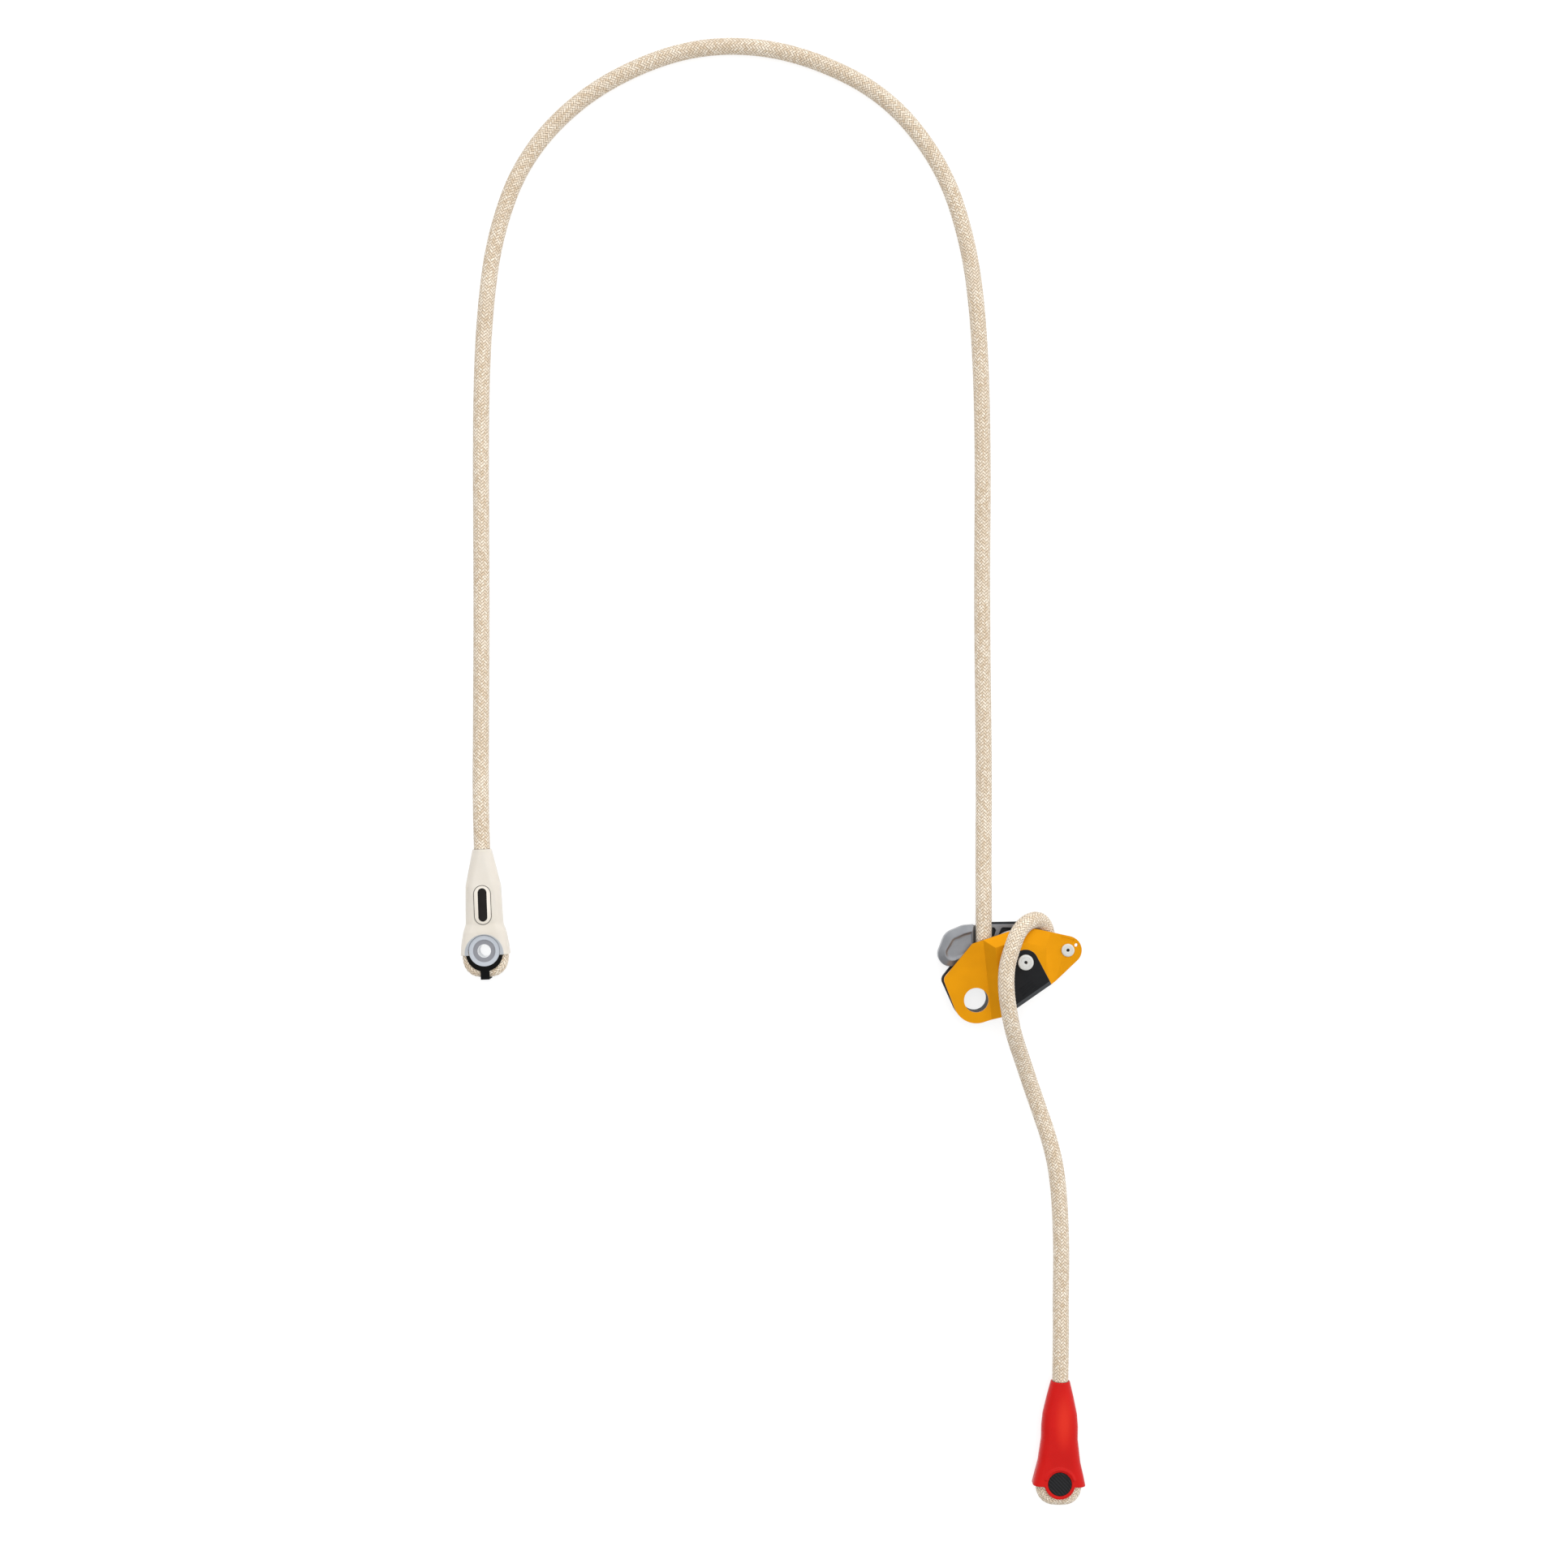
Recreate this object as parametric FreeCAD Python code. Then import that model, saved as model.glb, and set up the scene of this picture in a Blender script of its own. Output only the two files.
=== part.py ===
import FreeCAD, Part
import math
import os

# Adjustable positioning lanyard: a cam rope adjuster on a braided rope with two sewn ends.
# Millimetres. +Z points away from the surface that the lanyard lies on (z = 0).
# The origin is the centre of the adjuster's connector hole, on the rear plate's outer face.

os.makedirs("parts", exist_ok=True)
V = FreeCAD.Vector
UP = V(0, 0, 1)

# ---------------------------------------------------------------- driving dimensions
rope_diameter = 11.0
packed_rope_diameter = 10.0        # the rope inside the sewn ends, squeezed by its stitching

connector_hole_radius = 8.5
connector_web = 7.5                # plate metal left around the connector hole
bushing_wall = 2.4

rear_plate_thickness = 3.0
front_plate_thickness = 2.5
lobe_height = 20.7                 # outer face of the front plate, around the connector hole
crown_height = 25.2                # outer face of its raised middle
tip_height = 22.7                  # outer face at the tip
right_lip_height = 23.0            # outer face along the upper edge, on the tip's side
lobe_slope_run = 7.5               # how far each sloping band of the front plate reaches
tip_slope_run = 5.0
left_lip_run = 7.25
right_lip_run = 10.0
groove_half_width = 1.4            # pressed line beside the guard
groove_depth = 0.45
notch_half_width = 1.0             # small relief in the fold above the tip rivet
notch_depth = 0.7

axle_at = V(33.5, 26.6, 0)
tip_rivet_at = V(62.9, 34.8, 0)
axle_radius = 4.0
axle_head_radius = 5.5
tip_rivet_radius = 3.0
tip_rivet_head_radius = 4.6
rivet_head_height = 1.5
rear_head_height = 1.4
tip_web = 5.1                      # plate metal outside the tip rivet's head
anvil_radius = 5.8
keeper_hole_radius = 1.2

cam_centre = V(28.0, 29.0, 0)
cam_half_thickness = 5.3
cam_groove_radius = 6.2
cam_rope_gap = 1.05                # from the groove's bottom to the rope, with the lever at rest
cam_bushing_wall = 2.0

lever_thickness = 3.0
lever_pad_high = 15.5
lever_hub_radius = 9.5
lever_wall_x = -0.8                # right wall of the thumb pad, beside the rope
drive_pin_radius = 2.0
drive_pin_at = V(22.5, 29.6, 0)

spring_wire = 1.2
spring_coil_radius = 7.4
spring_pitch = 1.35
spring_turns = 2
spring_leg = 8.0
spring_pin_radius = 1.0

running_gap = 0.05                 # radial clearance of a shaft that turns in a hole
body_gap = 0.3                     # clearance between pieces that move past each other

guard_recess = 1.2
guard_proud = 0.2
guard_skirt = 2.2
guard_skirt_low = 19.5
guard_band_width = 2.8             # sloping band along its lower edge
guard_band_drop = 1.5

rope_wrap_y = 27.6                 # middle of the rope's half turn around the cam
rope_inside_height = 12.3

sleeve_axis_height = 8.0
clear_sleeve_wall = 1.1
red_sleeve_wall = 1.3
rope_leg_spacing = 5.5             # from the sleeve's middle to the centre of each leg
eye_hole_radius = 4.4
eye_hub_wall = 0.75
eye_hub_gap = 0.45                 # from the ring's hub to the rope around it
ring_window_gap = 0.25             # from the ring's face to the window in the clear sleeve
ring_recess_radius = 7.8
ring_recess_depth = 0.6
plug_radius = 8.2

# Where the two sewn ends lie: the middle of the eye, and the turn of the sleeve about Z.
clear_end_at = V(-341.1, 33.6, sleeve_axis_height)
clear_end_turn = 2.0
red_end_at = V(58.5, -336.4, sleeve_axis_height)
red_end_turn = -1.0
clear_sleeve_length = 70.6
red_sleeve_length = 69.9

# ---------------------------------------------------------------- sizes that follow from them
lever_low = rear_plate_thickness + body_gap
lever_high = lever_low + lever_thickness
cam_low = rope_inside_height - cam_half_thickness
cam_high = rope_inside_height + cam_half_thickness
eye_rope_bend = eye_hole_radius + eye_hub_wall + eye_hub_gap + packed_rope_diameter / 2
eye_half_width = eye_rope_bend + packed_rope_diameter / 2


def export(node, shape):
    shape.exportStep("parts/" + node + ".step")


# ---------------------------------------------------------------- small shape helpers
def disc(x, y, radius):
    return (V(x, y, 0), radius)


def grown(discs, amount):
    return [(centre, radius + amount) for centre, radius in discs]


def belt(discs, low, high):
    """A prism whose outline is a belt pulled clockwise around the discs, in the order given."""
    sides = []
    for here, there in zip(discs, discs[1:] + discs[:1]):
        span = there[0] - here[0]
        heading = math.atan2(span.y, span.x)
        lean = math.asin((here[1] - there[1]) / span.Length)
        normal_angle = heading + math.pi / 2 - lean
        normal = V(math.cos(normal_angle), math.sin(normal_angle), 0)
        along = V(normal.y, -normal.x, 0)
        sides.append((here[0] + normal * here[1], there[0] + normal * there[1], along))
    edges = []
    for index, (centre, radius) in enumerate(discs):
        start = sides[index - 1][1]
        end = sides[index][0]
        if start.distanceToPoint(end) > 1e-4:
            outward = sides[index - 1][2] - sides[index][2]
            outward.normalize()
            edges.append(Part.Arc(start, centre + outward * radius, end).toShape())
        edges.append(Part.LineSegment(end, sides[index][1]).toShape())
    face = Part.Face(Part.Wire(edges))
    face.translate(V(0, 0, low))
    return face.extrude(V(0, 0, high - low))


def cylinder(at, radius, low, high):
    return Part.makeCylinder(radius, high - low, V(at.x, at.y, low), UP)


def tube(at, outer_radius, inner_radius, low, high):
    return cylinder(at, outer_radius, low, high).cut(cylinder(at, inner_radius, low - 1, high + 1))


def above_slope(foot_start, foot_end, foot_height, rise):
    """Everything above a sloping plane. It passes through the foot line at foot_height,
    and climbs by rise per millimetre to the left of the foot line's direction."""
    reach = 150.0
    top = 200.0
    along = foot_end - foot_start
    along.normalize()
    left = UP.cross(along)
    origin = foot_start - along * reach

    def corner(distance, height):
        return origin + left * distance + V(0, 0, height)

    outline = Part.makePolygon([
        corner(-reach, foot_height - rise * reach),
        corner(reach, foot_height + rise * reach),
        corner(reach, top),
        corner(-reach, top),
        corner(-reach, foot_height - rise * reach),
    ])
    return Part.Face(outline).extrude(along * (2 * reach))


def rounded_section(half_width, half_thickness, corner, v):
    """A rectangle with round corners, across a sleeve at the distance v along it."""
    flat = half_width - corner
    side = half_thickness - corner
    edges = []
    ends = []
    for sign_x, sign_z in ((1, 1), (1, -1), (-1, -1), (-1, 1)):
        centre = V(sign_x * flat, v, sign_z * side)
        over = V(0, 0, sign_z * corner)
        across = V(sign_x * corner, 0, 0)
        start, end = (over, across) if sign_x == sign_z else (across, over)
        middle = (over + across) * math.sqrt(0.5)
        edges.append(Part.Arc(centre + start, centre + middle, centre + end).toShape())
        ends.append((centre + start, centre + end))
    for index in range(4):
        edges.append(Part.LineSegment(ends[index][1], ends[(index + 1) % 4][0]).toShape())
    return Part.Wire(Part.__sortEdges__(edges))


def oval_loft(stations, inset=0.0):
    """A solid through rounded sections. Each station is (v, half width, half thickness, corner)."""
    wires = [rounded_section(width - inset, thick - inset, corner - inset, v)
             for v, width, thick, corner in stations]
    return Part.makeLoft(wires, True, True)


def rope_tube(node, points, radius, corner_radii=None, share=0.45):
    """A round tube along straight runs joined by tangent arcs. Prints its length and radii."""
    corner_radii = corner_radii or {}
    edges = []
    printed = []
    length = 0.0
    here = points[0]
    for index in range(1, len(points) - 1):
        corner = points[index]
        back = points[index - 1] - corner
        ahead = points[index + 1] - corner
        turn = math.pi - back.getAngle(ahead)
        reach = share * min(back.Length, ahead.Length)
        if index in corner_radii:
            reach = corner_radii[index] * math.tan(turn / 2)
        bend = reach / math.tan(turn / 2)
        back.normalize()
        ahead.normalize()
        start = corner + back * reach
        end = corner + ahead * reach
        inward = back + ahead
        inward.normalize()
        middle = corner + inward * (bend / math.cos(turn / 2) - bend)
        if here.distanceToPoint(start) > 1e-4:
            edges.append(Part.LineSegment(here, start).toShape())
        edges.append(Part.Arc(start, middle, end).toShape())
        length += here.distanceToPoint(start) + bend * turn
        printed.append(round(bend, 1))
        here = end
    edges.append(Part.LineSegment(here, points[-1]).toShape())
    length += here.distanceToPoint(points[-1])
    path = Part.Wire(edges)
    section = Part.Wire([Part.makeCircle(radius, points[0], points[1] - points[0])])
    solid = path.makePipeShell([section], True, True)
    area = math.pi * radius ** 2
    print(node, "length", round(length, 1), "bend radii", printed)
    print(node, "volume over section x length", round(solid.Volume / (area * length), 4))
    return solid


# ---------------------------------------------------------------- rope routes
def rope_points(rows):
    return [V(x, y, z) for x, y, z in rows]


main_route = rope_points([
    (5.9, 41, 12.3), (5.9, 62, 12.3), (6.3, 104, 6.4), (6.8, 160, 5.5), (5.2, 275, 5.5),
    (6.2, 388, 5.5), (3.5, 470, 5.5), (-4, 528, 5.5), (-22, 582, 5.5), (-61, 631, 5.5),
    (-118, 659, 5.5), (-171, 667, 5.5), (-221, 658, 5.5), (-275, 630, 5.5), (-315, 587, 5.5),
    (-335, 534, 5.5), (-342.5, 476, 5.5), (-345, 407, 5.5), (-344.2, 285, 5.5),
    (-344.6, 190, 5.5),
])
tail_route = rope_points([
    (50.2, 35.5, 12.3), (50.2, 47.5, 12.3), (44.5, 56, 18.5), (35.5, 55.5, 27), (27.6, 48.5, 35),
    (22.9, 37, 41), (19, 24, 44), (18.7, 8.5, 44), (21.7, -10, 38.5), (26, -25.5, 28),
    (32.4, -42, 16.5), (38.9, -60, 8), (45, -77, 5.5), (52.8, -99.5, 5.5), (58.5, -125, 5.5),
    (61, -170, 5.5), (60.3, -212, 5.5),
])
straight_into_sleeve = 32.0


def placed_end(shape, at, turn):
    shape.rotate(V(0, 0, 0), UP, turn)
    shape.translate(at)
    return shape


def sleeve_mouth(at, turn, length):
    return at + FreeCAD.Rotation(UP, turn).multVec(V(0, length, 0))


for route, at, turn, length in ((main_route, clear_end_at, clear_end_turn, clear_sleeve_length),
                                (tail_route, red_end_at, red_end_turn, red_sleeve_length)):
    route.append(sleeve_mouth(at, turn, length + straight_into_sleeve))
    route.append(sleeve_mouth(at, turn, length))


# The rope's half turn inside the adjuster joins the two routes' first points.
rope_wrap_radius = (tail_route[0].x - main_route[0].x) / 2
rope_wrap_at = V((tail_route[0].x + main_route[0].x) / 2, rope_wrap_y, 0)
cam_radius = rope_wrap_radius - rope_diameter / 2 - cam_rope_gap


# ---------------------------------------------------------------- adjuster: outlines
lobe = disc(0, 0, connector_hole_radius + connector_web)
shoulder = disc(-17.7, 13.9, 4.5)
rear_shoulder = disc(-17.5, 12.6, 5.2)
lower_middle = disc(9.3, 12.4, 25.0)
lower_bend = disc(42.0, 29.1, 20.0)
front_tip = (tip_rivet_at, tip_rivet_head_radius + tip_web)
front_discs = [lobe, shoulder, disc(-1.6, 37.3, 2.0), disc(35.9, 9.7, 40.0),
               front_tip, lower_bend, lower_middle]
rear_tip = (tip_rivet_at, tip_rivet_head_radius + tip_web - 2.1)
rear_discs = [lobe, rear_shoulder, disc(10.0, 47.6, 5.2), disc(29.5, 45.4, 7.8),
              rear_tip, lower_bend, lower_middle]
guard_top = (axle_at, axle_head_radius + 3.3)
guard_discs = [guard_top, disc(52.7, 9.0, 0.0), disc(46.0, -20.0, 0.0), disc(20.4, -20.0, 0.0)]
keeper_hole_at = tip_rivet_at + V(5.8, 3.5, 0)


# ---------------------------------------------------------------- adjuster: plates
def front_plate_levels(drop):
    """The space under the front plate's outer face, lowered by drop."""
    floor = 10.0 - 2 * drop
    middle = belt(front_discs, floor, crown_height - drop)
    bands = [(V(5.6, 33.9, 0), V(10.7, -13.8, 0), lobe_height, lobe_slope_run),
             (V(54.5, 12.0, 0), V(52.0, 40.0, 0), tip_height, tip_slope_run),
             (V(23.3, 47.7, 0), V(-2.8, 39.0, 0), lobe_height, left_lip_run),
             (V(60.0, 45.5, 0), V(36.0, 49.5, 0), right_lip_height, right_lip_run)]
    for foot_start, foot_end, foot_height, run in bands:
        rise = (crown_height - foot_height) / run
        middle = middle.cut(above_slope(foot_start, foot_end, foot_height - drop, rise))
    low = belt(front_discs, floor, lobe_height - drop)
    tip_side = Part.makeBox(60, 80, 60, V(47.0, -5.0, -20.0))
    tip = belt(front_discs, floor, tip_height - drop).common(tip_side)
    return middle.fuse([low, tip]).removeSplitter()


def guard_outline(discs, low, high):
    return belt(guard_discs, low, high).common(belt(discs, low, high))


def make_front_plate():
    plate = front_plate_levels(0.0).cut(front_plate_levels(front_plate_thickness))
    plate = plate.cut(cylinder(V(0, 0, 0), connector_hole_radius, 0, 60))
    plate = plate.cut(cylinder(axle_at, axle_radius, 0, 60))
    plate = plate.cut(cylinder(tip_rivet_at, tip_rivet_radius, 0, 60))
    plate = plate.cut(cylinder(keeper_hole_at, keeper_hole_radius, 0, 60))
    plate = plate.cut(make_guard(0.0))
    groove_floor = crown_height - groove_depth
    groove = belt([disc(48.9, 14.5, groove_half_width), disc(48.9, 35.0, groove_half_width)],
                  groove_floor, crown_height + 1)
    plate = plate.cut(groove)
    notch = belt([disc(59.4, 43.2, notch_half_width), disc(66.2, 41.2, notch_half_width)],
                 tip_height - notch_depth, crown_height)
    return plate.cut(notch)


def make_guard(hole_radius):
    """The moulded cover: a flat arch in the plate's recess, and a skirt over its lower edge."""
    face = guard_outline(front_discs, crown_height - guard_recess, crown_height + guard_proud)
    skirt = guard_outline(front_discs, guard_skirt_low, crown_height + guard_proud)
    skirt = skirt.cut(belt(grown(front_discs, -guard_skirt), 0, 60))
    guard = face.fuse(skirt).removeSplitter()
    if hole_radius:
        guard = guard.cut(cylinder(axle_at, hole_radius, 0, 60))
        band_foot = crown_height + guard_proud - guard_band_drop
        guard = guard.cut(above_slope(V(27.5, -5.6, 0), V(51.6, 11.2, 0), band_foot,
                                      guard_band_drop / guard_band_width))
    return guard


def make_rear_plate():
    plate = belt(rear_discs, 0, rear_plate_thickness)
    plate = plate.cut(cylinder(V(0, 0, 0), connector_hole_radius, -1, 60))
    for at, shaft, head in ((axle_at, axle_radius, axle_head_radius),
                            (tip_rivet_at, tip_rivet_radius, tip_rivet_head_radius)):
        plate = plate.cut(cylinder(at, shaft, -1, 60))
        plate = plate.cut(cylinder(at, head, -1, rear_head_height))
    return plate


def make_rivet(at, shaft, head, top):
    """A shaft with a flush rear head and a raised front head with a centre dimple."""
    rivet = cylinder(at, shaft, 0, top + 0.1)
    rivet = rivet.fuse(cylinder(at, head, 0, rear_head_height))
    front_head = cylinder(at, head, top, top + rivet_head_height)
    rim = [edge for edge in front_head.Edges if edge.BoundBox.ZMin > top + 0.1 and edge.Closed]
    front_head = front_head.makeFillet(0.6, rim)
    rivet = rivet.fuse(front_head).removeSplitter()
    return rivet.cut(cylinder(at, 1.0, top + rivet_head_height - 1.0, top + 5))


# ---------------------------------------------------------------- adjuster: moving pieces
spring_low = cam_high + body_gap + spring_wire
spring_high = spring_low + spring_pitch * spring_turns
pin_beside_leg = V(spring_coil_radius - spring_wire / 2 - spring_pin_radius, 7.0, 0)
spring_post_at = axle_at + V(pin_beside_leg.x, -pin_beside_leg.y, 0)
spring_anchor_at = axle_at + pin_beside_leg
spring_post_low = cam_high - 2.0
spring_anchor_high = crown_height - guard_recess


def make_cam():
    """An eccentric disc with a concave rope groove around it."""
    groove_centre = cam_radius + cam_groove_radius
    inset = math.sqrt(cam_groove_radius ** 2 - cam_half_thickness ** 2)
    edge_radius = groove_centre - inset
    profile = Part.Wire([
        Part.LineSegment(V(0, 0, cam_low), V(edge_radius, 0, cam_low)).toShape(),
        Part.Arc(V(edge_radius, 0, cam_low), V(cam_radius, 0, rope_inside_height),
                 V(edge_radius, 0, cam_high)).toShape(),
        Part.LineSegment(V(edge_radius, 0, cam_high), V(0, 0, cam_high)).toShape(),
        Part.LineSegment(V(0, 0, cam_high), V(0, 0, cam_low)).toShape(),
    ])
    cam = Part.Face(profile).revolve(V(0, 0, 0), UP, 360)
    cam.translate(cam_centre)
    cam = cam.cut(cylinder(axle_at, axle_radius + running_gap + cam_bushing_wall, 0, 60))
    cam = cam.cut(cylinder(spring_post_at, spring_pin_radius, spring_post_low, 60))
    return cam.cut(cylinder(drive_pin_at, drive_pin_radius + running_gap, 0, 60))


def make_lever():
    hub = (axle_at, lever_hub_radius)
    arm_discs = [hub, disc(-8.0, 38.5, 9.5), disc(10.0, 20.0, 31.5), disc(31.0, 44.0, 7.5)]
    arm = belt(arm_discs, lever_low, lever_high)
    pad_discs = [disc(-17.5, 31.0, 8.0), disc(-12.0, 37.5, 10.5), disc(-6.0, 40.5, 10.0),
                 disc(0.0, 43.0, 8.0), disc(0.0, 36.0, 8.0)]
    pad = belt(pad_discs, lever_low, lever_pad_high)
    dish = belt(grown(pad_discs, -3.0), lever_pad_high - 1.0, lever_pad_high + 1)
    pad = pad.cut(dish)
    beside_rope = Part.makeBox(60, 80, 40, V(lever_wall_x, 0, lever_high))
    pad = pad.cut(beside_rope)
    lever = arm.fuse(pad).removeSplitter()
    rope_side = [disc(3.5, 44.0, 2.5), disc(3.5, 46.6, 2.5), disc(12.6, 47.1, 2.2), disc(11.0, 43.5, 2.5)]
    tip_side = [disc(18.3, 43.5, 1.5), disc(20.3, 47.5, 1.8), disc(28.5, 47.3, 1.8), disc(29.0, 43.0, 2.0)]
    for pocket in (rope_side, tip_side):
        lever = lever.cut(belt(pocket, 0, lever_high + 1))
    lever = lever.cut(cylinder(axle_at, axle_radius + running_gap, 0, 60))
    return lever.cut(cylinder(drive_pin_at, drive_pin_radius, 0, 60))


def make_spring():
    """A torsion spring around the axle, with a short straight leg at each end."""
    low = spring_low
    rise = spring_pitch * spring_turns
    helix = Part.makeHelix(spring_pitch, rise, spring_coil_radius)
    helix.translate(axle_at + V(0, 0, low))
    start = axle_at + V(spring_coil_radius, 0, low)
    section = Part.Wire([Part.makeCircle(spring_wire / 2, start, V(0, 1, 0))])
    coil = Part.Wire(helix.Edges).makePipeShell([section], True, True)
    lower_leg = Part.makeCylinder(spring_wire / 2, spring_leg, start, V(0, -1, 0))
    upper_leg = Part.makeCylinder(spring_wire / 2, spring_leg, start + V(0, 0, rise), V(0, 1, 0))
    return coil.fuse([lower_leg, upper_leg]).removeSplitter()


# ---------------------------------------------------------------- rope inside the adjuster
def make_rope_inside():
    """The held stretch: down beside the cam, around under it, and up beside the anvil."""
    radius = rope_diameter / 2
    left = rope_wrap_at.x - rope_wrap_radius
    right = rope_wrap_at.x + rope_wrap_radius
    turn_y = rope_wrap_at.y
    height = rope_inside_height
    path = Part.Wire([
        Part.LineSegment(V(left, main_route[0].y, height), V(left, turn_y, height)).toShape(),
        Part.Arc(V(left, turn_y, height), V(rope_wrap_at.x, turn_y - rope_wrap_radius, height),
                 V(right, turn_y, height)).toShape(),
        Part.LineSegment(V(right, turn_y, height), V(right, tail_route[0].y, height)).toShape(),
    ])
    section = Part.Wire([Part.makeCircle(radius, V(left, main_route[0].y, height), V(0, -1, 0))])
    return path.makePipeShell([section], True, True)


# ---------------------------------------------------------------- sewn ends, in their own frame
# x runs across the sleeve, y along it towards the rope, z is measured from its middle plane.
def make_eye_rope(node, length, eye_drop):
    """The rope's end: in at the mouth, around the eye, and back up beside itself."""
    bend = eye_rope_bend
    leg = rope_leg_spacing
    low = eye_drop - bend
    shoulder_bend = 20.0
    high = eye_drop + 3.2
    points = [V(0, length, 0), V(0, length - 10, 0), V(leg, length - 28, 0), V(leg, 19, 0),
              V(bend, high, 0), V(bend, low, 0), V(-bend, low, 0), V(-bend, high, 0),
              V(-leg, 19, 0), V(-leg, length - 26, 0)]
    radii = {4: shoulder_bend, 5: bend, 6: bend, 7: shoulder_bend}
    return rope_tube(node, points, packed_rope_diameter / 2, radii)


def make_stitching(length):
    """A wound and sewn band that holds the two legs together."""
    clearance = 0.05
    wrap = 0.5
    radius = packed_rope_diameter / 2 + clearance
    low, high = 24.0, length - 33.5

    def oval(v, extra):
        return (v, rope_leg_spacing + radius + extra, radius + extra, radius + extra - 0.01)

    outer = oval_loft([oval(low, wrap), oval(high, wrap)])
    return outer.cut(oval_loft([oval(low - 1, 0), oval(high + 1, 0)]))


# A neck's stations are shares of the sleeve's length, so that it is always a taper.
clear_stations = [(clear_sleeve_length, 6.6, 6.5, 6.4), (0.694 * clear_sleeve_length, 11.4, 6.9, 6.4),
                  (0.637 * clear_sleeve_length, 12.2, 7.1, 6.2), (18.5, 13.0, 7.1, 6.0),
                  (13.0, eye_half_width - 0.9, 8.0, 5.6), (5.0, eye_half_width + 0.6, 8.0, 5.4),
                  (-3.0, eye_half_width + 1.4, 8.0, 5.2)]
red_stations = [(red_sleeve_length, 6.6, 6.5, 6.4), (0.845 * red_sleeve_length, 9.3, 6.9, 6.5),
                (0.675 * red_sleeve_length, 11.9, 7.2, 6.4), (0.554 * red_sleeve_length, 12.7, 7.3, 6.4),
                (29.6, 12.7, 7.3, 6.2), (13.8, eye_half_width - 0.9, 7.6, 6.0),
                (4.7, eye_half_width + 1.3, 7.9, 5.8), (-2.1, eye_half_width + 2.8, 8.0, 5.6)]
flange_low = packed_rope_diameter / 2 + 0.15
flange_high = 6.7
ring_flange_radius = eye_rope_bend + 0.1
ring_shoulder_radius = ring_flange_radius + 3.1
ring_shoulder_step = 0.6           # the shoulder lies this much under the ring's face


def stretched(stations, wall):
    """The same ovals for a cavity, run out past both open ends."""
    first = (stations[0][0] + wall,) + stations[0][1:]
    last = (stations[-1][0] - wall,) + stations[-1][1:]
    return [first] + stations + [last]


def make_clear_sleeve():
    """The clear cover, with a round window for the keeper ring's face on each side."""
    shell = oval_loft(clear_stations)
    shell = shell.cut(oval_loft(stretched(clear_stations, clear_sleeve_wall), clear_sleeve_wall))
    return shell.cut(Part.makeCylinder(ring_flange_radius + ring_window_gap, 60, V(0, 0, -30), UP))


def make_red_sleeve():
    """The red cover: a flared shell, and two round lobes that hold the plug."""
    shell = oval_loft(red_stations)
    half = red_stations[-1][2]
    lobe_radius = plug_radius + 2.4
    lobes = Part.makeCylinder(lobe_radius, 2 * half, V(0, 0, -half), UP)
    shell = shell.fuse(lobes)
    shell = shell.cut(oval_loft(stretched(red_stations, red_sleeve_wall), red_sleeve_wall))
    rope_slot_half = packed_rope_diameter / 2 + 0.4
    slot = Part.makeBox(60, 30, 2 * rope_slot_half, V(-30, red_stations[-1][0] - 30, -rope_slot_half))
    inner_lobe = Part.makeCylinder(lobe_radius + 1, 2 * rope_slot_half, V(0, 0, -rope_slot_half), UP)
    shell = shell.cut(slot).cut(inner_lobe)
    return shell.cut(Part.makeCylinder(plug_radius, 40, V(0, 0, -20), UP))


def make_keeper_ring():
    """Two round faces joined by a hub, with a wider shoulder inside the sleeve at each face."""
    hub = Part.makeCylinder(eye_hole_radius + eye_hub_wall, 2 * flange_high, V(0, 0, -flange_high), UP)
    thickness = flange_high - flange_low
    above = Part.makeBox(40, 30, 40, V(-20, 0.5, -20))
    for low, shoulder_low, recess_low in ((flange_low, flange_low, flange_high - ring_recess_depth),
                                          (-flange_high, ring_shoulder_step - flange_high,
                                           -flange_high)):
        flange = Part.makeCylinder(ring_flange_radius, thickness, V(0, 0, low), UP)
        shoulder = Part.makeCylinder(ring_shoulder_radius, thickness - ring_shoulder_step,
                                     V(0, -1.9, shoulder_low), UP)
        hub = hub.fuse([flange, shoulder.common(above)])
        hub = hub.cut(Part.makeCylinder(ring_recess_radius, ring_recess_depth, V(0, 0, recess_low), UP))
    ring = hub.removeSplitter()
    return ring.cut(Part.makeCylinder(eye_hole_radius, 40, V(0, 0, -20), UP))


clear_eye_drop = -2.7              # middle of the rope's eye, below the ring's middle
red_eye_drop = -0.6
strap_wall = 1.3
strap_top = -6.0
strap_bottom = clear_eye_drop - eye_half_width - 0.4 - strap_wall


def thimble_side(low, high):
    crescent = Part.makeCylinder(ring_flange_radius + 2.1, high - low, V(0, -1.5, low), UP)
    below = Part.makeBox(40, 30, 40, V(-20, -33.2, -20))
    strap = Part.makeBox(6.2, strap_top - strap_bottom, high - low, V(-3.1, strap_bottom, low))
    side = crescent.common(below).fuse(strap).removeSplitter()
    return side.cut(Part.makeCylinder(ring_flange_radius + 0.05, 60, V(0, 0, -30), UP))


def make_thimble():
    front = thimble_side(flange_low, flange_high)
    back = thimble_side(-flange_high, -flange_low)
    bridge = Part.makeBox(6.2, strap_wall, 2 * flange_high, V(-3.1, strap_bottom, -flange_high))
    return front.fuse([back, bridge]).removeSplitter()


def make_label():
    top = clear_stations[2][2]
    low, high, corner, side = 18.9, 44.7, 3.0, 2.8
    discs = [disc(-side, low + corner, corner), disc(-side, high - corner, corner),
             disc(side, high - corner, corner), disc(side, low + corner, corner)]
    return belt(discs, top, top + 0.4)


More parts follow.
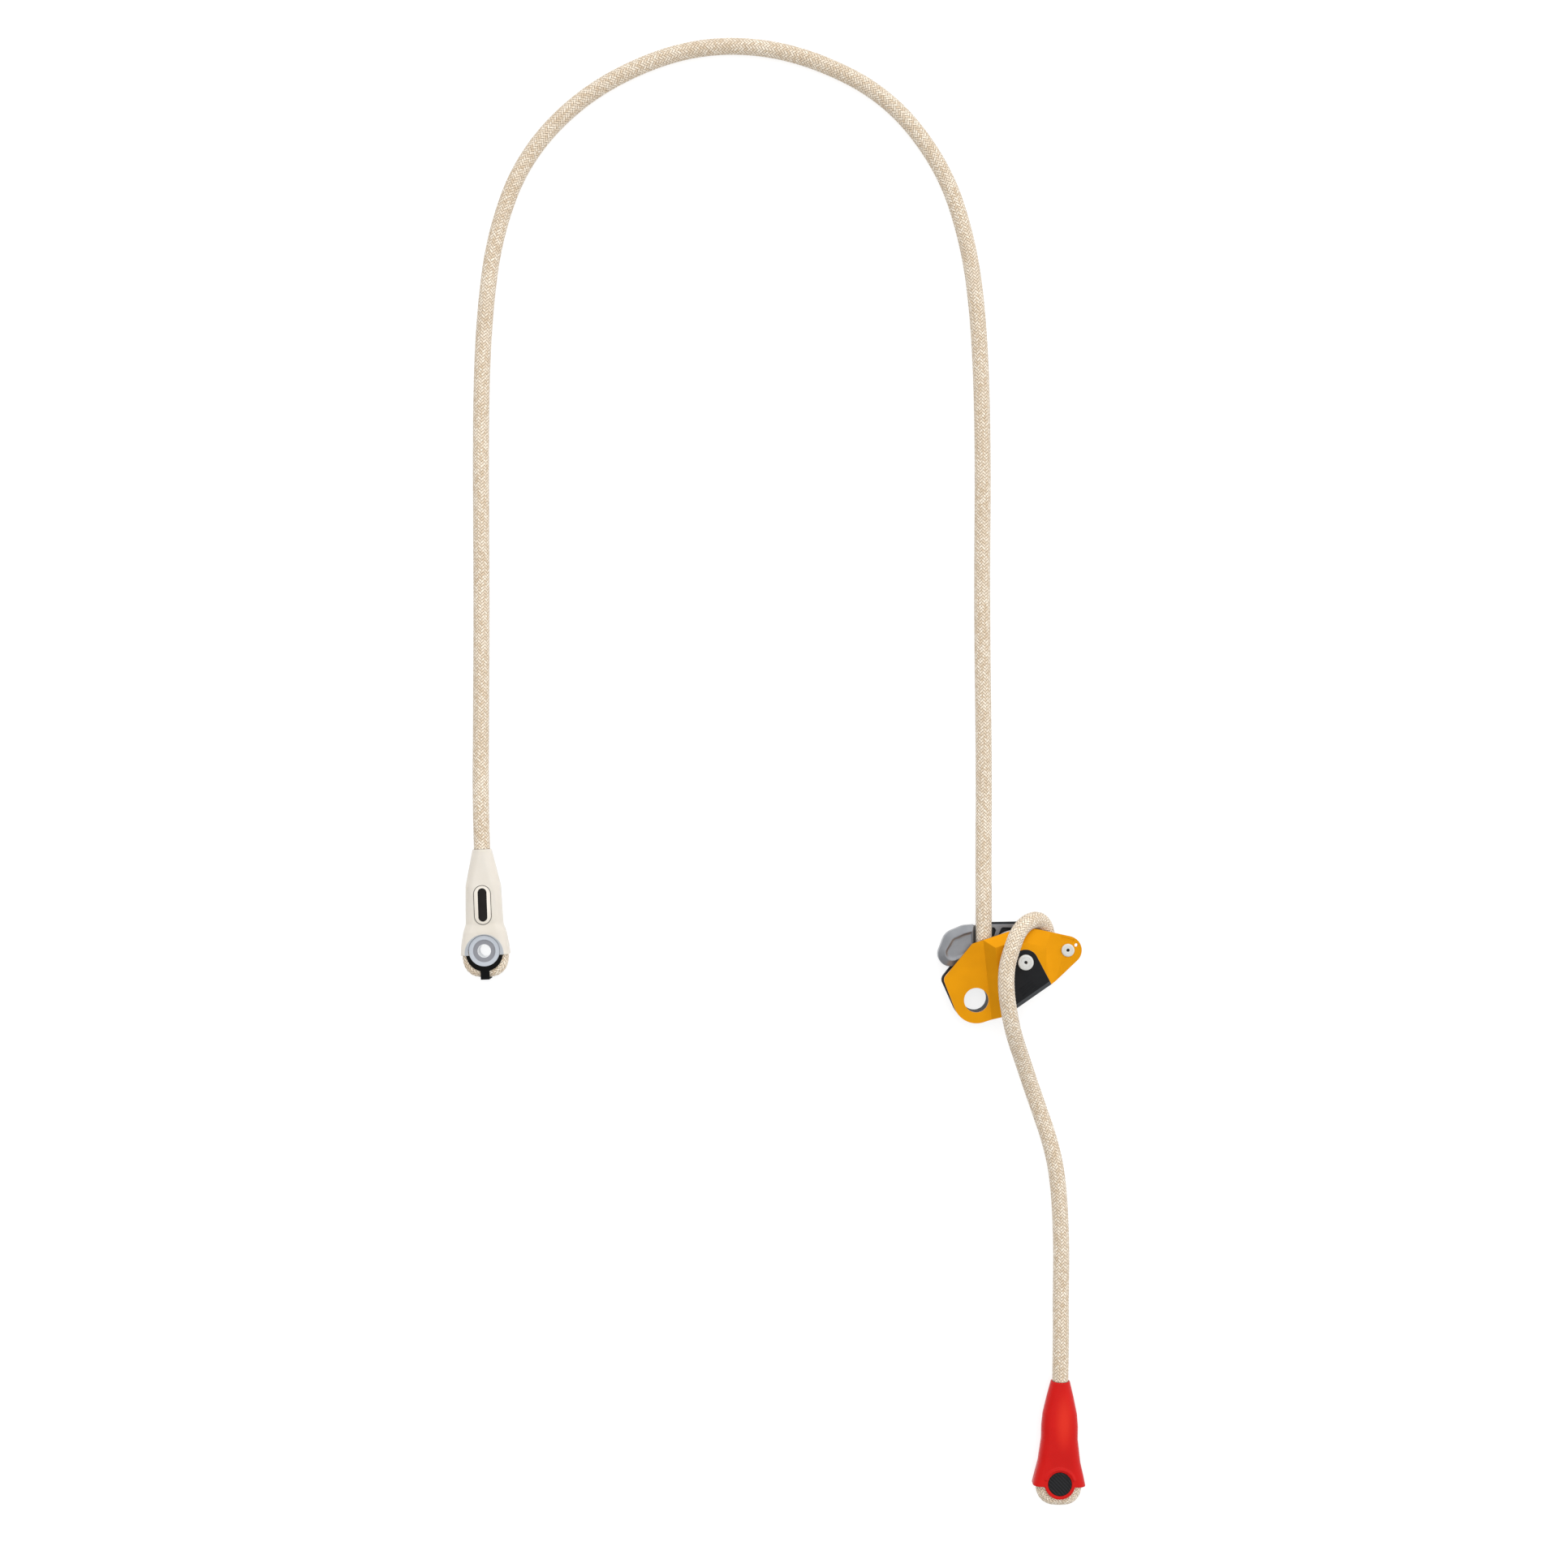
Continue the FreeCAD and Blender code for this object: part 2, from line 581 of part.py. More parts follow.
def make_plug():
    """A spool that fills the eye: a round head in each lobe of the cover, joined by a core."""
    head_low = packed_rope_diameter / 2 + 0.2
    head_high = red_stations[-1][2] + 0.2
    core = Part.makeCylinder(eye_rope_bend - packed_rope_diameter / 2 - 0.4, 2 * head_low,
                             V(0, 0, -head_low), UP)
    heads = [Part.makeCylinder(plug_radius, head_high - head_low, V(0, 0, head_low), UP),
             Part.makeCylinder(plug_radius, red_stations[-1][2] - head_low,
                               V(0, 0, -red_stations[-1][2]), UP)]
    return core.fuse(heads).removeSplitter()


# ---------------------------------------------------------------- build and export
front_plate = make_front_plate()
export("front_plate", front_plate.cut(cylinder(spring_anchor_at, spring_pin_radius, 0, spring_anchor_high)))
export("rear_plate", make_rear_plate())
export("cam_guard", make_guard(axle_radius))
export("connector_bushing", tube(V(0, 0, 0), connector_hole_radius + bushing_wall, connector_hole_radius,
                                 rear_plate_thickness, lobe_height - front_plate_thickness))
export("cam_axle", make_rivet(axle_at, axle_radius, axle_head_radius, crown_height + guard_proud))
export("tip_rivet", make_rivet(tip_rivet_at, tip_rivet_radius, tip_rivet_head_radius, tip_height))
export("rope_anvil", tube(tip_rivet_at, anvil_radius, tip_rivet_radius,
                          rear_plate_thickness, tip_height - front_plate_thickness))
export("cam", make_cam())
export("cam_bushing", tube(axle_at, axle_radius + running_gap + cam_bushing_wall,
                           axle_radius + running_gap, cam_low - 0.3, cam_high + 0.3))
export("release_lever", make_lever())
export("drive_pin", cylinder(drive_pin_at, drive_pin_radius, lever_low, cam_high - 1.0))
export("return_spring", make_spring())
export("spring_post", cylinder(spring_post_at, spring_pin_radius, spring_post_low, spring_low + spring_wire))
export("spring_anchor_pin", cylinder(spring_anchor_at, spring_pin_radius,
                                     spring_high - spring_wire, spring_anchor_high))
export("axle_spacer", tube(axle_at, spring_coil_radius - spring_wire / 2 - 1.0, axle_radius,
                           cam_high + 2 * body_gap, crown_height - front_plate_thickness))
export("rope_in_adjuster", make_rope_inside())
export("rope_main_run", rope_tube("rope_main_run", main_route, rope_diameter / 2))
export("rope_tail", rope_tube("rope_tail", tail_route, rope_diameter / 2))

clear_end = {
    "clear_sleeve": make_clear_sleeve(),
    "clear_end_rope_eye": make_eye_rope("clear_end_rope_eye", clear_sleeve_length, clear_eye_drop),
    "clear_end_stitching": make_stitching(clear_sleeve_length),
    "clear_end_label": make_label(),
    "keeper_ring": make_keeper_ring(),
    "thimble": make_thimble(),
}
for node, shape in clear_end.items():
    export(node, placed_end(shape, clear_end_at, clear_end_turn))

red_end = {
    "red_sleeve": make_red_sleeve(),
    "red_end_rope_eye": make_eye_rope("red_end_rope_eye", red_sleeve_length, red_eye_drop),
    "red_end_stitching": make_stitching(red_sleeve_length),
    "eye_plug": make_plug(),
}
for node, shape in red_end.items():
    export(node, placed_end(shape, red_end_at, red_end_turn))
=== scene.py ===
import math

import bmesh
import bpy
import numpy as np
from mathutils import Matrix, Vector


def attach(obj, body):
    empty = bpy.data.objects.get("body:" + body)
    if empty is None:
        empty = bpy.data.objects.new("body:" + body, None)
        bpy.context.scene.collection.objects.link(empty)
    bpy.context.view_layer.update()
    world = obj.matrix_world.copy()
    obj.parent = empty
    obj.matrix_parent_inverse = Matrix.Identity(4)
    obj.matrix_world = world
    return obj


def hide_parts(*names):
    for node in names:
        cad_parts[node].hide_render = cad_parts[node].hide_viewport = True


# Looks of the adjustable positioning lanyard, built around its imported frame.
# Everything is in metres. MM turns a size in millimetres into metres.
MM = 0.001

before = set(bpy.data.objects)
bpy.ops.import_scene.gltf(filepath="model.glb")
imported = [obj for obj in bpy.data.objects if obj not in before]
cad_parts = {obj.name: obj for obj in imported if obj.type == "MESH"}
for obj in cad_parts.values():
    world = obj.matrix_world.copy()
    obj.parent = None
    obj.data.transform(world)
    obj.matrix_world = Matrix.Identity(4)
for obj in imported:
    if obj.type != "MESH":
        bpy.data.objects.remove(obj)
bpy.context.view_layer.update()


# ---------------------------------------------------------------- camera
def make_camera():
    """Straight above the lanyard, which fills most of the picture's height."""
    lens = bpy.data.cameras.new("camera")
    lens.sensor_width = 36.0
    height = 1440 * MM
    picture_width = 1099.7 * MM
    lens.lens = lens.sensor_width * height / picture_width
    camera = bpy.data.objects.new("camera", lens)
    camera.location = (-132.96 * MM, 149.5 * MM, height)
    bpy.context.scene.collection.objects.link(camera)
    bpy.context.scene.camera = camera


make_camera()


# ---------------------------------------------------------------- mesh helpers
def shown(name, mesh):
    piece = bpy.data.objects.new(name, mesh)
    bpy.context.scene.collection.objects.link(piece)
    return piece


def mesh_of(name, points, faces, smooth=True):
    mesh = bpy.data.meshes.new(name)
    mesh.from_pydata([tuple(p) for p in points], [], faces)
    mesh.polygons.foreach_set("use_smooth", [smooth] * len(mesh.polygons))
    mesh.update()
    return mesh


def spline_points(control_points):
    """Points along the smooth line that a route's control points pull into shape."""
    route = bpy.data.curves.new("route", "CURVE")
    route.dimensions = "3D"
    route.resolution_u = 24
    spline = route.splines.new("NURBS")
    spline.points.add(len(control_points) - 1)
    for control, place in zip(spline.points, control_points):
        control.co = (*place, 1.0)
    spline.order_u = 3
    spline.use_endpoint_u = True
    holder = bpy.data.objects.new("route", route)
    line = bpy.data.meshes.new_from_object(holder)
    found = np.array([v.co[:] for v in line.vertices], float)
    bpy.data.objects.remove(holder)
    bpy.data.curves.remove(route)
    bpy.data.meshes.remove(line)
    return found


def evenly_spaced(line, step):
    """The same line with points a whole number of equal steps apart, near the step asked for."""
    gaps = np.linalg.norm(np.diff(line, axis=0), axis=1)
    distance = np.concatenate([[0.0], np.cumsum(gaps)])
    count = max(2, round(distance[-1] / step))
    wanted = np.linspace(0.0, distance[-1], count + 1)
    points = np.stack([np.interp(wanted, distance, line[:, axis]) for axis in range(3)], axis=1)
    return points, wanted


def carried_frames(points):
    """A side direction and an up direction at each point of a line, carried along it without twist."""
    tangents = np.gradient(points, axis=0)
    tangents /= np.linalg.norm(tangents, axis=1)[:, None]
    ups = np.zeros_like(points)
    up = np.array([0.0, 0.0, 1.0])
    for index, tangent in enumerate(tangents):
        up = up - tangent * (up @ tangent)
        up /= np.linalg.norm(up)
        ups[index] = up
    return np.cross(tangents, ups), ups


def ring_directions(angles, across, ups):
    """Directions from each point of a line out to its ring, one for each angle."""
    sideways = np.cos(angles)[None, :, None] * across[:, None, :]
    upwards = np.sin(angles)[None, :, None] * ups[:, None, :]
    return sideways + upwards


def plain_tube(name, line, radius, sides=10):
    """A round tube along a line, with closed ends."""
    across, ups = carried_frames(line)
    angles = np.linspace(0, 2 * math.pi, sides, endpoint=False)
    ring = ring_directions(angles, across, ups)
    points = (line[:, None, :] + radius * ring).reshape(-1, 3)
    return mesh_of(name, points, tube_faces(len(line), sides))


def tube_faces(rings, sides):
    faces = []
    for ring in range(rings - 1):
        low = ring * sides
        high = low + sides
        faces += [(low + s, low + (s + 1) % sides, high + (s + 1) % sides, high + s) for s in range(sides)]
    faces.append(tuple(reversed(range(sides))))
    faces.append(tuple((rings - 1) * sides + s for s in range(sides)))
    return faces


WELD = 2e-6             # points of a CAD mesh closer than this, in metres, are one
SHARP_TURNING = math.radians(32)


def welded(solids):
    """An editable shape with the faces of all the solids, and one point where several met."""
    shape = bmesh.new()
    for solid in solids:
        shape.from_mesh(solid)
    bmesh.ops.remove_doubles(shape, verts=shape.verts, dist=WELD)
    return shape


def mesh_from(shape, name):
    """Ends the editing of a shape, and gives its mesh."""
    mesh = bpy.data.meshes.new(name)
    shape.to_mesh(mesh)
    shape.free()
    return mesh


def turned(name, profile, sides=72):
    """A lathe-turned shape about Z. The profile is (radius, height) in millimetres, from axis to axis."""
    points = []
    for radius, height in profile:
        for side in range(sides):
            angle = 2 * math.pi * side / sides
            points.append((radius * MM * math.cos(angle), radius * MM * math.sin(angle), height * MM))
    shape = mesh_of(name, points, tube_faces(len(profile), sides))
    tidy = bmesh.new()
    tidy.from_mesh(shape)
    bmesh.ops.remove_doubles(tidy, verts=tidy.verts, dist=1e-7)
    bmesh.ops.recalc_face_normals(tidy, faces=tidy.faces)
    for edge in tidy.edges:
        edge.smooth = edge.calc_face_angle(0.0) < SHARP_TURNING
    tidy.to_mesh(shape)
    tidy.free()
    return shape


def pulled_belt(discs, per_disc=12):
    """Points of a belt pulled around discs (x, y, radius), in millimetres, the same number on each disc."""
    points = []
    count = len(discs)
    leans = []
    for index in range(count):
        x0, y0, r0 = discs[index]
        x1, y1, r1 = discs[(index + 1) % count]
        heading = math.atan2(y1 - y0, x1 - x0)
        leans.append(heading + math.pi / 2 - math.asin((r0 - r1) / math.hypot(x1 - x0, y1 - y0)))
    for index in range(count):
        x, y, radius = discs[index]
        start = leans[index - 1]
        turn = (start - leans[index]) % (2 * math.pi)
        for step in range(per_disc):
            angle = start - turn * step / (per_disc - 1)
            points.append((x + radius * math.cos(angle), y + radius * math.sin(angle)))
    return points


def lifted(outline, height):
    """A flat outline of (x, y) as a ring at a height, in millimetres."""
    return [(x, y, height) for x, y in outline]


def stacked(name, rings):
    """A closed skin over rings of points, each a list of (x, y, z) in millimetres with the same count."""
    sides = len(rings[0])
    points = [tuple(c * MM for c in p) for ring in rings for p in ring]
    shape = mesh_of(name, points, tube_faces(len(rings), sides))
    tidy = bmesh.new()
    tidy.from_mesh(shape)
    bmesh.ops.recalc_face_normals(tidy, faces=tidy.faces)
    tidy.to_mesh(shape)
    tidy.free()
    return shape


def edge_softened(name, node, edge, rim_angle=30, segments=2):
    """A piece with a CAD node's shape and its sharp edges broken by a small radius, in millimetres.
    The broken edges take the piece's second material."""
    shape = welded([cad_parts[node].data])
    bmesh.ops.dissolve_limit(shape, angle_limit=math.radians(0.6), verts=shape.verts, edges=shape.edges)
    for face in shape.faces:
        face.material_index = 0
        face.smooth = True
    sharp = [e for e in shape.edges if e.is_manifold and e.calc_face_angle(0.0) > math.radians(rim_angle)]
    bmesh.ops.bevel(shape, geom=sharp, offset=edge * MM, segments=segments, profile=0.5, affect="EDGES",
                    clamp_overlap=True, material=1)
    bmesh.ops.triangulate(shape, faces=[f for f in shape.faces if len(f.verts) > 4])
    piece = shown(name, mesh_from(shape, name))
    normals = piece.modifiers.new("flat faces stay flat", "WEIGHTED_NORMAL")
    normals.weight = 90
    return piece


def moulded(name, node, grain, rounds, extras=()):
    """A piece with a CAD node's shape and any extra solids, as out of one mould."""
    return moulded_from(name, [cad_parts[node].data, *extras], grain, rounds)


def moulded_from(name, solids, grain, rounds):
    """Closed shapes run together into one skin of cells grain millimetres wide, and rounded."""
    piece = shown(name, mesh_from(welded(solids), name))
    skin = piece.modifiers.new("one skin", "REMESH")
    skin.mode = "VOXEL"
    skin.voxel_size = grain * MM
    skin.use_smooth_shade = True
    soft = piece.modifiers.new("rounded", "SMOOTH")
    soft.factor = 0.5
    soft.iterations = rounds
    return piece


# ---------------------------------------------------------------- material helpers
def linear(code):
    """An sRGB hex colour as linear RGBA."""
    parts = [int(code[i:i + 2], 16) / 255 for i in (1, 3, 5)]
    return tuple(c / 12.92 if c <= 0.04045 else ((c + 0.055) / 1.055) ** 2.4 for c in parts) + (1.0,)


def add(tree, kind, settings=None, inputs=None):
    """Adds a node, sets its properties, and fills its inputs with values or with other nodes' outputs."""
    made = tree.nodes.new("ShaderNode" + kind)
    for name, value in (settings or {}).items():
        setattr(made, name, value)
    for name, value in (inputs or {}).items():
        if isinstance(value, bpy.types.NodeSocket):
            tree.links.new(value, made.inputs[name])
        else:
            made.inputs[name].default_value = value
    return made


def maths(tree, operation, first, second=0.0, third=0.0):
    return add(tree, "Math", {"operation": operation}, {0: first, 1: second, 2: third}).outputs[0]


def blended(tree, share, low, high):
    """Colour low where share is 0, and colour high where it is 1."""
    made = add(tree, "Mix", {"data_type": "RGBA"})
    for index, value in ((0, share), (6, low), (7, high)):
        if isinstance(value, bpy.types.NodeSocket):
            tree.links.new(value, made.inputs[index])
        else:
            made.inputs[index].default_value = value
    return made.outputs[2]


def new_material(name, **sockets):
    """A material with one Principled shader. Its sockets are set by name, with underscores for spaces."""
    material = bpy.data.materials.new(name)
    material.use_nodes = True
    tree = material.node_tree
    tree.nodes.clear()
    values = {key.replace("_", " "): value for key, value in sockets.items()}
    shader = add(tree, "BsdfPrincipled", None, values)
    add(tree, "OutputMaterial", None, {"Surface": shader.outputs[0]})
    return material, tree, shader


def grain_bump(tree, shader, size, depth, detail=3.0, place=None, strength=1.0):
    """Relief of a grain size millimetres across and depth millimetres deep. Returns its height."""
    place = place or add(tree, "TexCoord").outputs["Object"]
    grain = add(tree, "TexNoise", None, {"Vector": place, "Scale": 1.0 / (size * MM), "Detail": detail})
    relief = add(tree, "Bump", None, {"Height": grain.outputs["Fac"], "Distance": depth * MM,
                                      "Strength": strength})
    tree.links.new(relief.outputs[0], shader.inputs["Normal"])
    return grain.outputs["Fac"]


def spread(tree, value, low, high):
    """A texture's value, most of which lies between 0.3 and 0.7, spread from low to high."""
    return add(tree, "MapRange", None, {"Value": value, "From Min": 0.3, "From Max": 0.7,
                                        "To Min": low, "To Max": high}).outputs[0]


def clouded(tree, shader, size, detail, light, dark, most=1.0):
    """Colour that drifts from light towards dark, in clouds size millimetres across."""
    cloud = add(tree, "TexNoise", None, {"Vector": add(tree, "TexCoord").outputs["Object"],
                                         "Scale": 1 / (size * MM), "Detail": detail})
    share = spread(tree, cloud.outputs["Fac"], 0.0, most)
    tree.links.new(blended(tree, share, linear(light), linear(dark)), shader.inputs["Base Color"])


def dulled(tree, shader, share, low, high):
    """Roughness that follows a texture from low to high."""
    tree.links.new(spread(tree, share, low, high), shader.inputs["Roughness"])


def line_scale(spacing):
    """The wave texture's scale for lines this many millimetres apart."""
    return 2 * math.pi / (20 * spacing * MM)


def shader_of(material):
    return next(node for node in material.node_tree.nodes if node.bl_idname == "ShaderNodeBsdfPrincipled")


# ---------------------------------------------------------------- materials
BRAID_YARNS = 16        # yarns that run each way around the sheath
BRAID_ROW = 1.06        # spacing along the rope over spacing around it
FILAMENTS = 5           # lines that run along each yarn


def braided_polyamide():
    """Polyamide rope sheath, braided from spun yarn: matt and soft, with a painted shadow in each crossing,
    a slightly different tint on each yarn, and fine filaments along it."""
    material, tree, shader = new_material("braided_polyamide", Roughness=0.88, Sheen_Weight=0.25,
                                          Sheen_Roughness=0.5, Specular_IOR_Level=0.25)
    place = add(tree, "UVMap", {"uv_map": "braid"})
    parts = add(tree, "SeparateXYZ", None, {0: place.outputs[0]})
    around, along = parts.outputs[0], parts.outputs[1]
    right = maths(tree, "ADD", around, along)
    left = maths(tree, "SUBTRACT", around, along)
    right_yarn = maths(tree, "FLOOR", right)
    left_yarn = maths(tree, "FLOOR", left)
    crossing = maths(tree, "FLOORED_MODULO", maths(tree, "ADD", right_yarn, left_yarn), 4.0)
    right_on_top = maths(tree, "LESS_THAN", crossing, 1.5)
    across_right = maths(tree, "FRACT", right)
    across_left = maths(tree, "FRACT", left)
    along_right = maths(tree, "FLOORED_MODULO", maths(tree, "ADD", left, right_yarn), 4.0)
    along_left = maths(tree, "SUBTRACT",
                       maths(tree, "FLOORED_MODULO", maths(tree, "ADD", right, left_yarn), 4.0), 2.0)

    def chosen(from_left, from_right):
        mixed = add(tree, "Mix", {"data_type": "FLOAT"}, {0: right_on_top, 2: from_left, 3: from_right})
        return mixed.outputs[0]

    across = chosen(across_left, across_right)
    float_run = chosen(along_left, along_right)
    yarn = chosen(maths(tree, "ADD", left_yarn, 41.3), right_yarn)
    round_yarn = maths(tree, "POWER", maths(tree, "SINE", maths(tree, "MULTIPLY", across, math.pi)), 0.7)
    arch = maths(tree, "SINE", maths(tree, "MULTIPLY", float_run, math.pi / 2))
    height = maths(tree, "MULTIPLY", round_yarn, maths(tree, "MULTIPLY_ADD", arch, 0.5, 0.5))
    filaments = maths(tree, "SINE", maths(tree, "MULTIPLY", across, 2 * math.pi * FILAMENTS))
    relief = maths(tree, "MULTIPLY_ADD", filaments, 0.06, height)
    bump = add(tree, "Bump", None, {"Height": relief, "Distance": 0.5 * MM, "Strength": 0.9})
    tree.links.new(bump.outputs[0], shader.inputs["Normal"])
    tint = add(tree, "TexWhiteNoise", {"noise_dimensions": "2D"},
               {"Vector": add(tree, "CombineXYZ", None, {0: yarn, 1: crossing}).outputs[0]})
    worn = add(tree, "TexNoise", None, {"Vector": place.outputs[0], "Scale": 0.12, "Detail": 3.0})
    yarn_colour = blended(tree, tint.outputs["Value"], linear("#FFF4E2"), linear("#DDC7AA"))
    yarn_colour = blended(tree, spread(tree, worn.outputs["Fac"], 0.0, 0.3), yarn_colour, linear("#D9C6AE"))
    # Painted shade: the colour darkens towards the gap colour where the braid's relief is low.
    depth = add(tree, "MapRange", {"interpolation_type": "SMOOTHSTEP"},
                {"Value": height, "From Min": 0.12, "From Max": 0.6})
    shaded = blended(tree, depth.outputs[0], linear("#917D67"), yarn_colour)
    tree.links.new(shaded, shader.inputs["Base Color"])
    return material


def anodised_gold(name="gold_anodised_aluminium", colour="#F3A405", dark="#E79A04", roughness=0.42):
    """Pressed aluminium plate, blasted and anodised gold: a satin sheen with a very fine, even grain."""
    material, tree, shader = new_material(name, Metallic=0.82, Roughness=roughness)
    grain = grain_bump(tree, shader, 0.35, 0.006, detail=2.0)
    clouded(tree, shader, 22, 2.0, colour, dark)
    dulled(tree, shader, grain, roughness - 0.03, roughness + 0.05)
    return material


def anodised_black():
    """Pressed aluminium plate, anodised black: dark satin, a little grey where handled."""
    material, tree, shader = new_material("black_anodised_aluminium", Metallic=0.5)
    grain = grain_bump(tree, shader, 0.3, 0.006, detail=2.0)
    clouded(tree, shader, 9, 5.0, "#2B2D30", "#3A3D41", 0.7)
    dulled(tree, shader, grain, 0.38, 0.5)
    return material


def moulded_plastic(name, colour, shade, roughness, texture_size, texture_depth, **sockets):
    """Injection-moulded plastic: even colour, a faint cloud from the flow, and a spark-eroded texture."""
    material, tree, shader = new_material(name, **sockets)
    texture = grain_bump(tree, shader, texture_size, texture_depth, detail=2.0)
    clouded(tree, shader, 15, 2.0, colour, shade)
    dulled(tree, shader, texture, roughness - 0.04, roughness + 0.06)
    return material


def turned_steel(name, colour, roughness, ring_depth, centre=(0.0, 0.0)):
    """Turned and plated steel: bright, with fine concentric tool marks around its axis, 0.25 mm apart
    where a real lathe leaves 0.05 mm, so that they show."""
    material, tree, shader = new_material(name, Metallic=1.0, Base_Color=linear(colour))
    place = add(tree, "TexCoord").outputs["Object"]
    moved = add(tree, "VectorMath", {"operation": "SUBTRACT"}, {0: place, 1: (centre[0], centre[1], 0.0)})
    marks = add(tree, "TexWave", {"wave_type": "RINGS", "rings_direction": "Z", "wave_profile": "SIN"},
                {"Vector": moved.outputs[0], "Scale": line_scale(0.25), "Distortion": 0.3,
                 "Detail": 1.0})
    relief = add(tree, "Bump", None, {"Height": marks.outputs["Fac"], "Distance": ring_depth * MM,
                                      "Strength": 1.0})
    tree.links.new(relief.outputs[0], shader.inputs["Normal"])
    dulled(tree, shader, marks.outputs["Fac"], roughness, roughness + 0.08)
    return material


def blasted_casting(name, colour, shade, roughness):
    """Die-cast aluminium, bead blasted: grey satin with a soft pebbled grain 0.4 mm across."""
    material, tree, shader = new_material(name, Metallic=0.75)
    grain = grain_bump(tree, shader, 0.4, 0.012, detail=3.0)
    clouded(tree, shader, 12, 4.0, colour, shade)
    dulled(tree, shader, grain, roughness - 0.04, roughness + 0.06)
    return material


def drawn_wire():
    """Hard-drawn spring wire: dark grey, semi-bright, with marks along its length."""
    material, tree, shader = new_material("spring_steel", Metallic=1.0, Base_Color=linear("#8E9094"))
    grain = grain_bump(tree, shader, 0.2, 0.004)
    dulled(tree, shader, grain, 0.28, 0.42)
    return material


def sintered_bronze():
    """Sintered bronze bush: brown-gold, dull, with fine open pores."""
    material, tree, shader = new_material("sintered_bronze", Metallic=1.0)
    grain = grain_bump(tree, shader, 0.25, 0.02)
    tree.links.new(blended(tree, spread(tree, grain, 0.0, 1.0), linear("#8A6A3C"), linear("#C79F63")),
                   shader.inputs["Base Color"])
    dulled(tree, shader, grain, 0.4, 0.6)
    return material


def sewing_thread():
    """Bonded polyester thread, twisted from three plies 0.6 mm apart: off-white with a low sheen."""
    material, tree, shader = new_material("sewing_thread", Roughness=0.6, Sheen_Weight=0.2)
    plies = add(tree, "TexWave", {"wave_type": "BANDS", "bands_direction": "DIAGONAL"},
                {"Vector": add(tree, "TexCoord").outputs["Object"], "Scale": line_scale(0.6)})
    relief = add(tree, "Bump", None, {"Height": plies.outputs["Fac"], "Distance": 0.1 * MM, "Strength": 0.8})
    tree.links.new(relief.outputs[0], shader.inputs["Normal"])
    # Painted shade and highlight: darker in the grooves between the plies and lighter on their crests,
    # following the relief.
    tree.links.new(blended(tree, plies.outputs["Fac"], linear("#B9B2A6"), linear("#E6E1D6")),
                   shader.inputs["Base Color"])
    return material


def scored(material, spacing, depth):
    """Cuts fine diagonal lines, spacing and depth in millimetres, into a moulded face."""
    tree = material.node_tree
    shader = shader_of(material)
    lines = add(tree, "TexWave", {"wave_type": "BANDS", "bands_direction": "DIAGONAL"},
                {"Vector": add(tree, "TexCoord").outputs["Object"],
                 "Scale": line_scale(spacing), "Distortion": 1.2, "Detail": 2.0})
    plain_colour = shader.inputs["Base Color"].links[0].from_socket
    # Painted highlight: the crest of each raised line is coloured a lighter grey.
    raised = maths(tree, "POWER", lines.outputs["Fac"], 4.0)
    tree.links.new(blended(tree, raised, plain_colour, linear("#28292B")), shader.inputs["Base Color"])
    plain_relief = shader.inputs["Normal"].links[0].from_socket
    relief = add(tree, "Bump", None, {"Height": lines.outputs["Fac"], "Distance": depth * MM, "Strength": 0.8,
                                      "Normal": plain_relief})
    tree.links.new(relief.outputs[0], shader.inputs["Normal"])


def seen_through_or_highlight(material, middle, size, colour, softness):
    """Paints an oval of colour into a moulded material, either where something shows through it or as a
    painted highlight:
    an oval at middle, of half-widths size, in millimetres in the piece's own frame, above the piece's middle
    plane."""
    tree = material.node_tree
    shader = shader_of(material)
    plain = shader.inputs["Base Color"].links[0].from_socket
    place = add(tree, "TexCoord").outputs["Object"]
    moved = add(tree, "VectorMath", {"operation": "SUBTRACT"},
                {0: place, 1: (middle[0] * MM, middle[1] * MM, 0.0)})
    scaled = add(tree, "VectorMath", {"operation": "MULTIPLY"},
                 {0: moved.outputs[0], 1: (1 / (size[0] * MM), 1 / (size[1] * MM), 0.0)})
    reach = add(tree, "VectorMath", {"operation": "LENGTH"}, {0: scaled.outputs[0]}).outputs["Value"]
    share = add(tree, "MapRange", {"interpolation_type": "SMOOTHSTEP"},
                {"Value": reach, "From Min": 1.0 - softness, "From Max": 1.0, "To Min": 1.0, "To Max": 0.0})
    parts = add(tree, "SeparateXYZ", None, {0: place})
    in_front = maths(tree, "GREATER_THAN", parts.outputs[2], 0.0)
    share = maths(tree, "MULTIPLY", share.outputs[0], in_front)
    tree.links.new(blended(tree, share, plain, linear(colour)), shader.inputs["Base Color"])


def ring_plastic():
    """Grey acetal ring: smooth and slightly blue, with a darker band around its hole, and the wall of its
    hole coloured near white as painted light.
    """
    material, tree, shader = new_material("grey_acetal", Roughness=0.38)
    place = add(tree, "TexCoord").outputs["Object"]
    flat = add(tree, "VectorMath", {"operation": "MULTIPLY"}, {0: place, 1: (1.0, 1.0, 0.0)})
    radius = add(tree, "VectorMath", {"operation": "LENGTH"}, {0: flat.outputs[0]}).outputs["Value"]
    band = add(tree, "MapRange", {"interpolation_type": "SMOOTHSTEP"},
               {"Value": radius, "From Min": 7.6 * MM, "From Max": 7.95 * MM})
    grain = grain_bump(tree, shader, 0.5, 0.01, place=place)
    light = blended(tree, grain, linear("#BCC1C8"), linear("#B0B6BF"))
    dark = blended(tree, grain, linear("#8B8C92"), linear("#7E7F86"))
    # Painted light: the wall of the hole is coloured near white, where shade would fall.
    bore_painted_light = add(tree, "MapRange", {"interpolation_type": "SMOOTHSTEP"},
               {"Value": radius, "From Min": 4.5 * MM, "From Max": 4.8 * MM})
    face = blended(tree, bore_painted_light.outputs[0], linear("#E6E8EA"), dark)
    tree.links.new(blended(tree, band.outputs[0], face, light), shader.inputs["Base Color"])
    return material


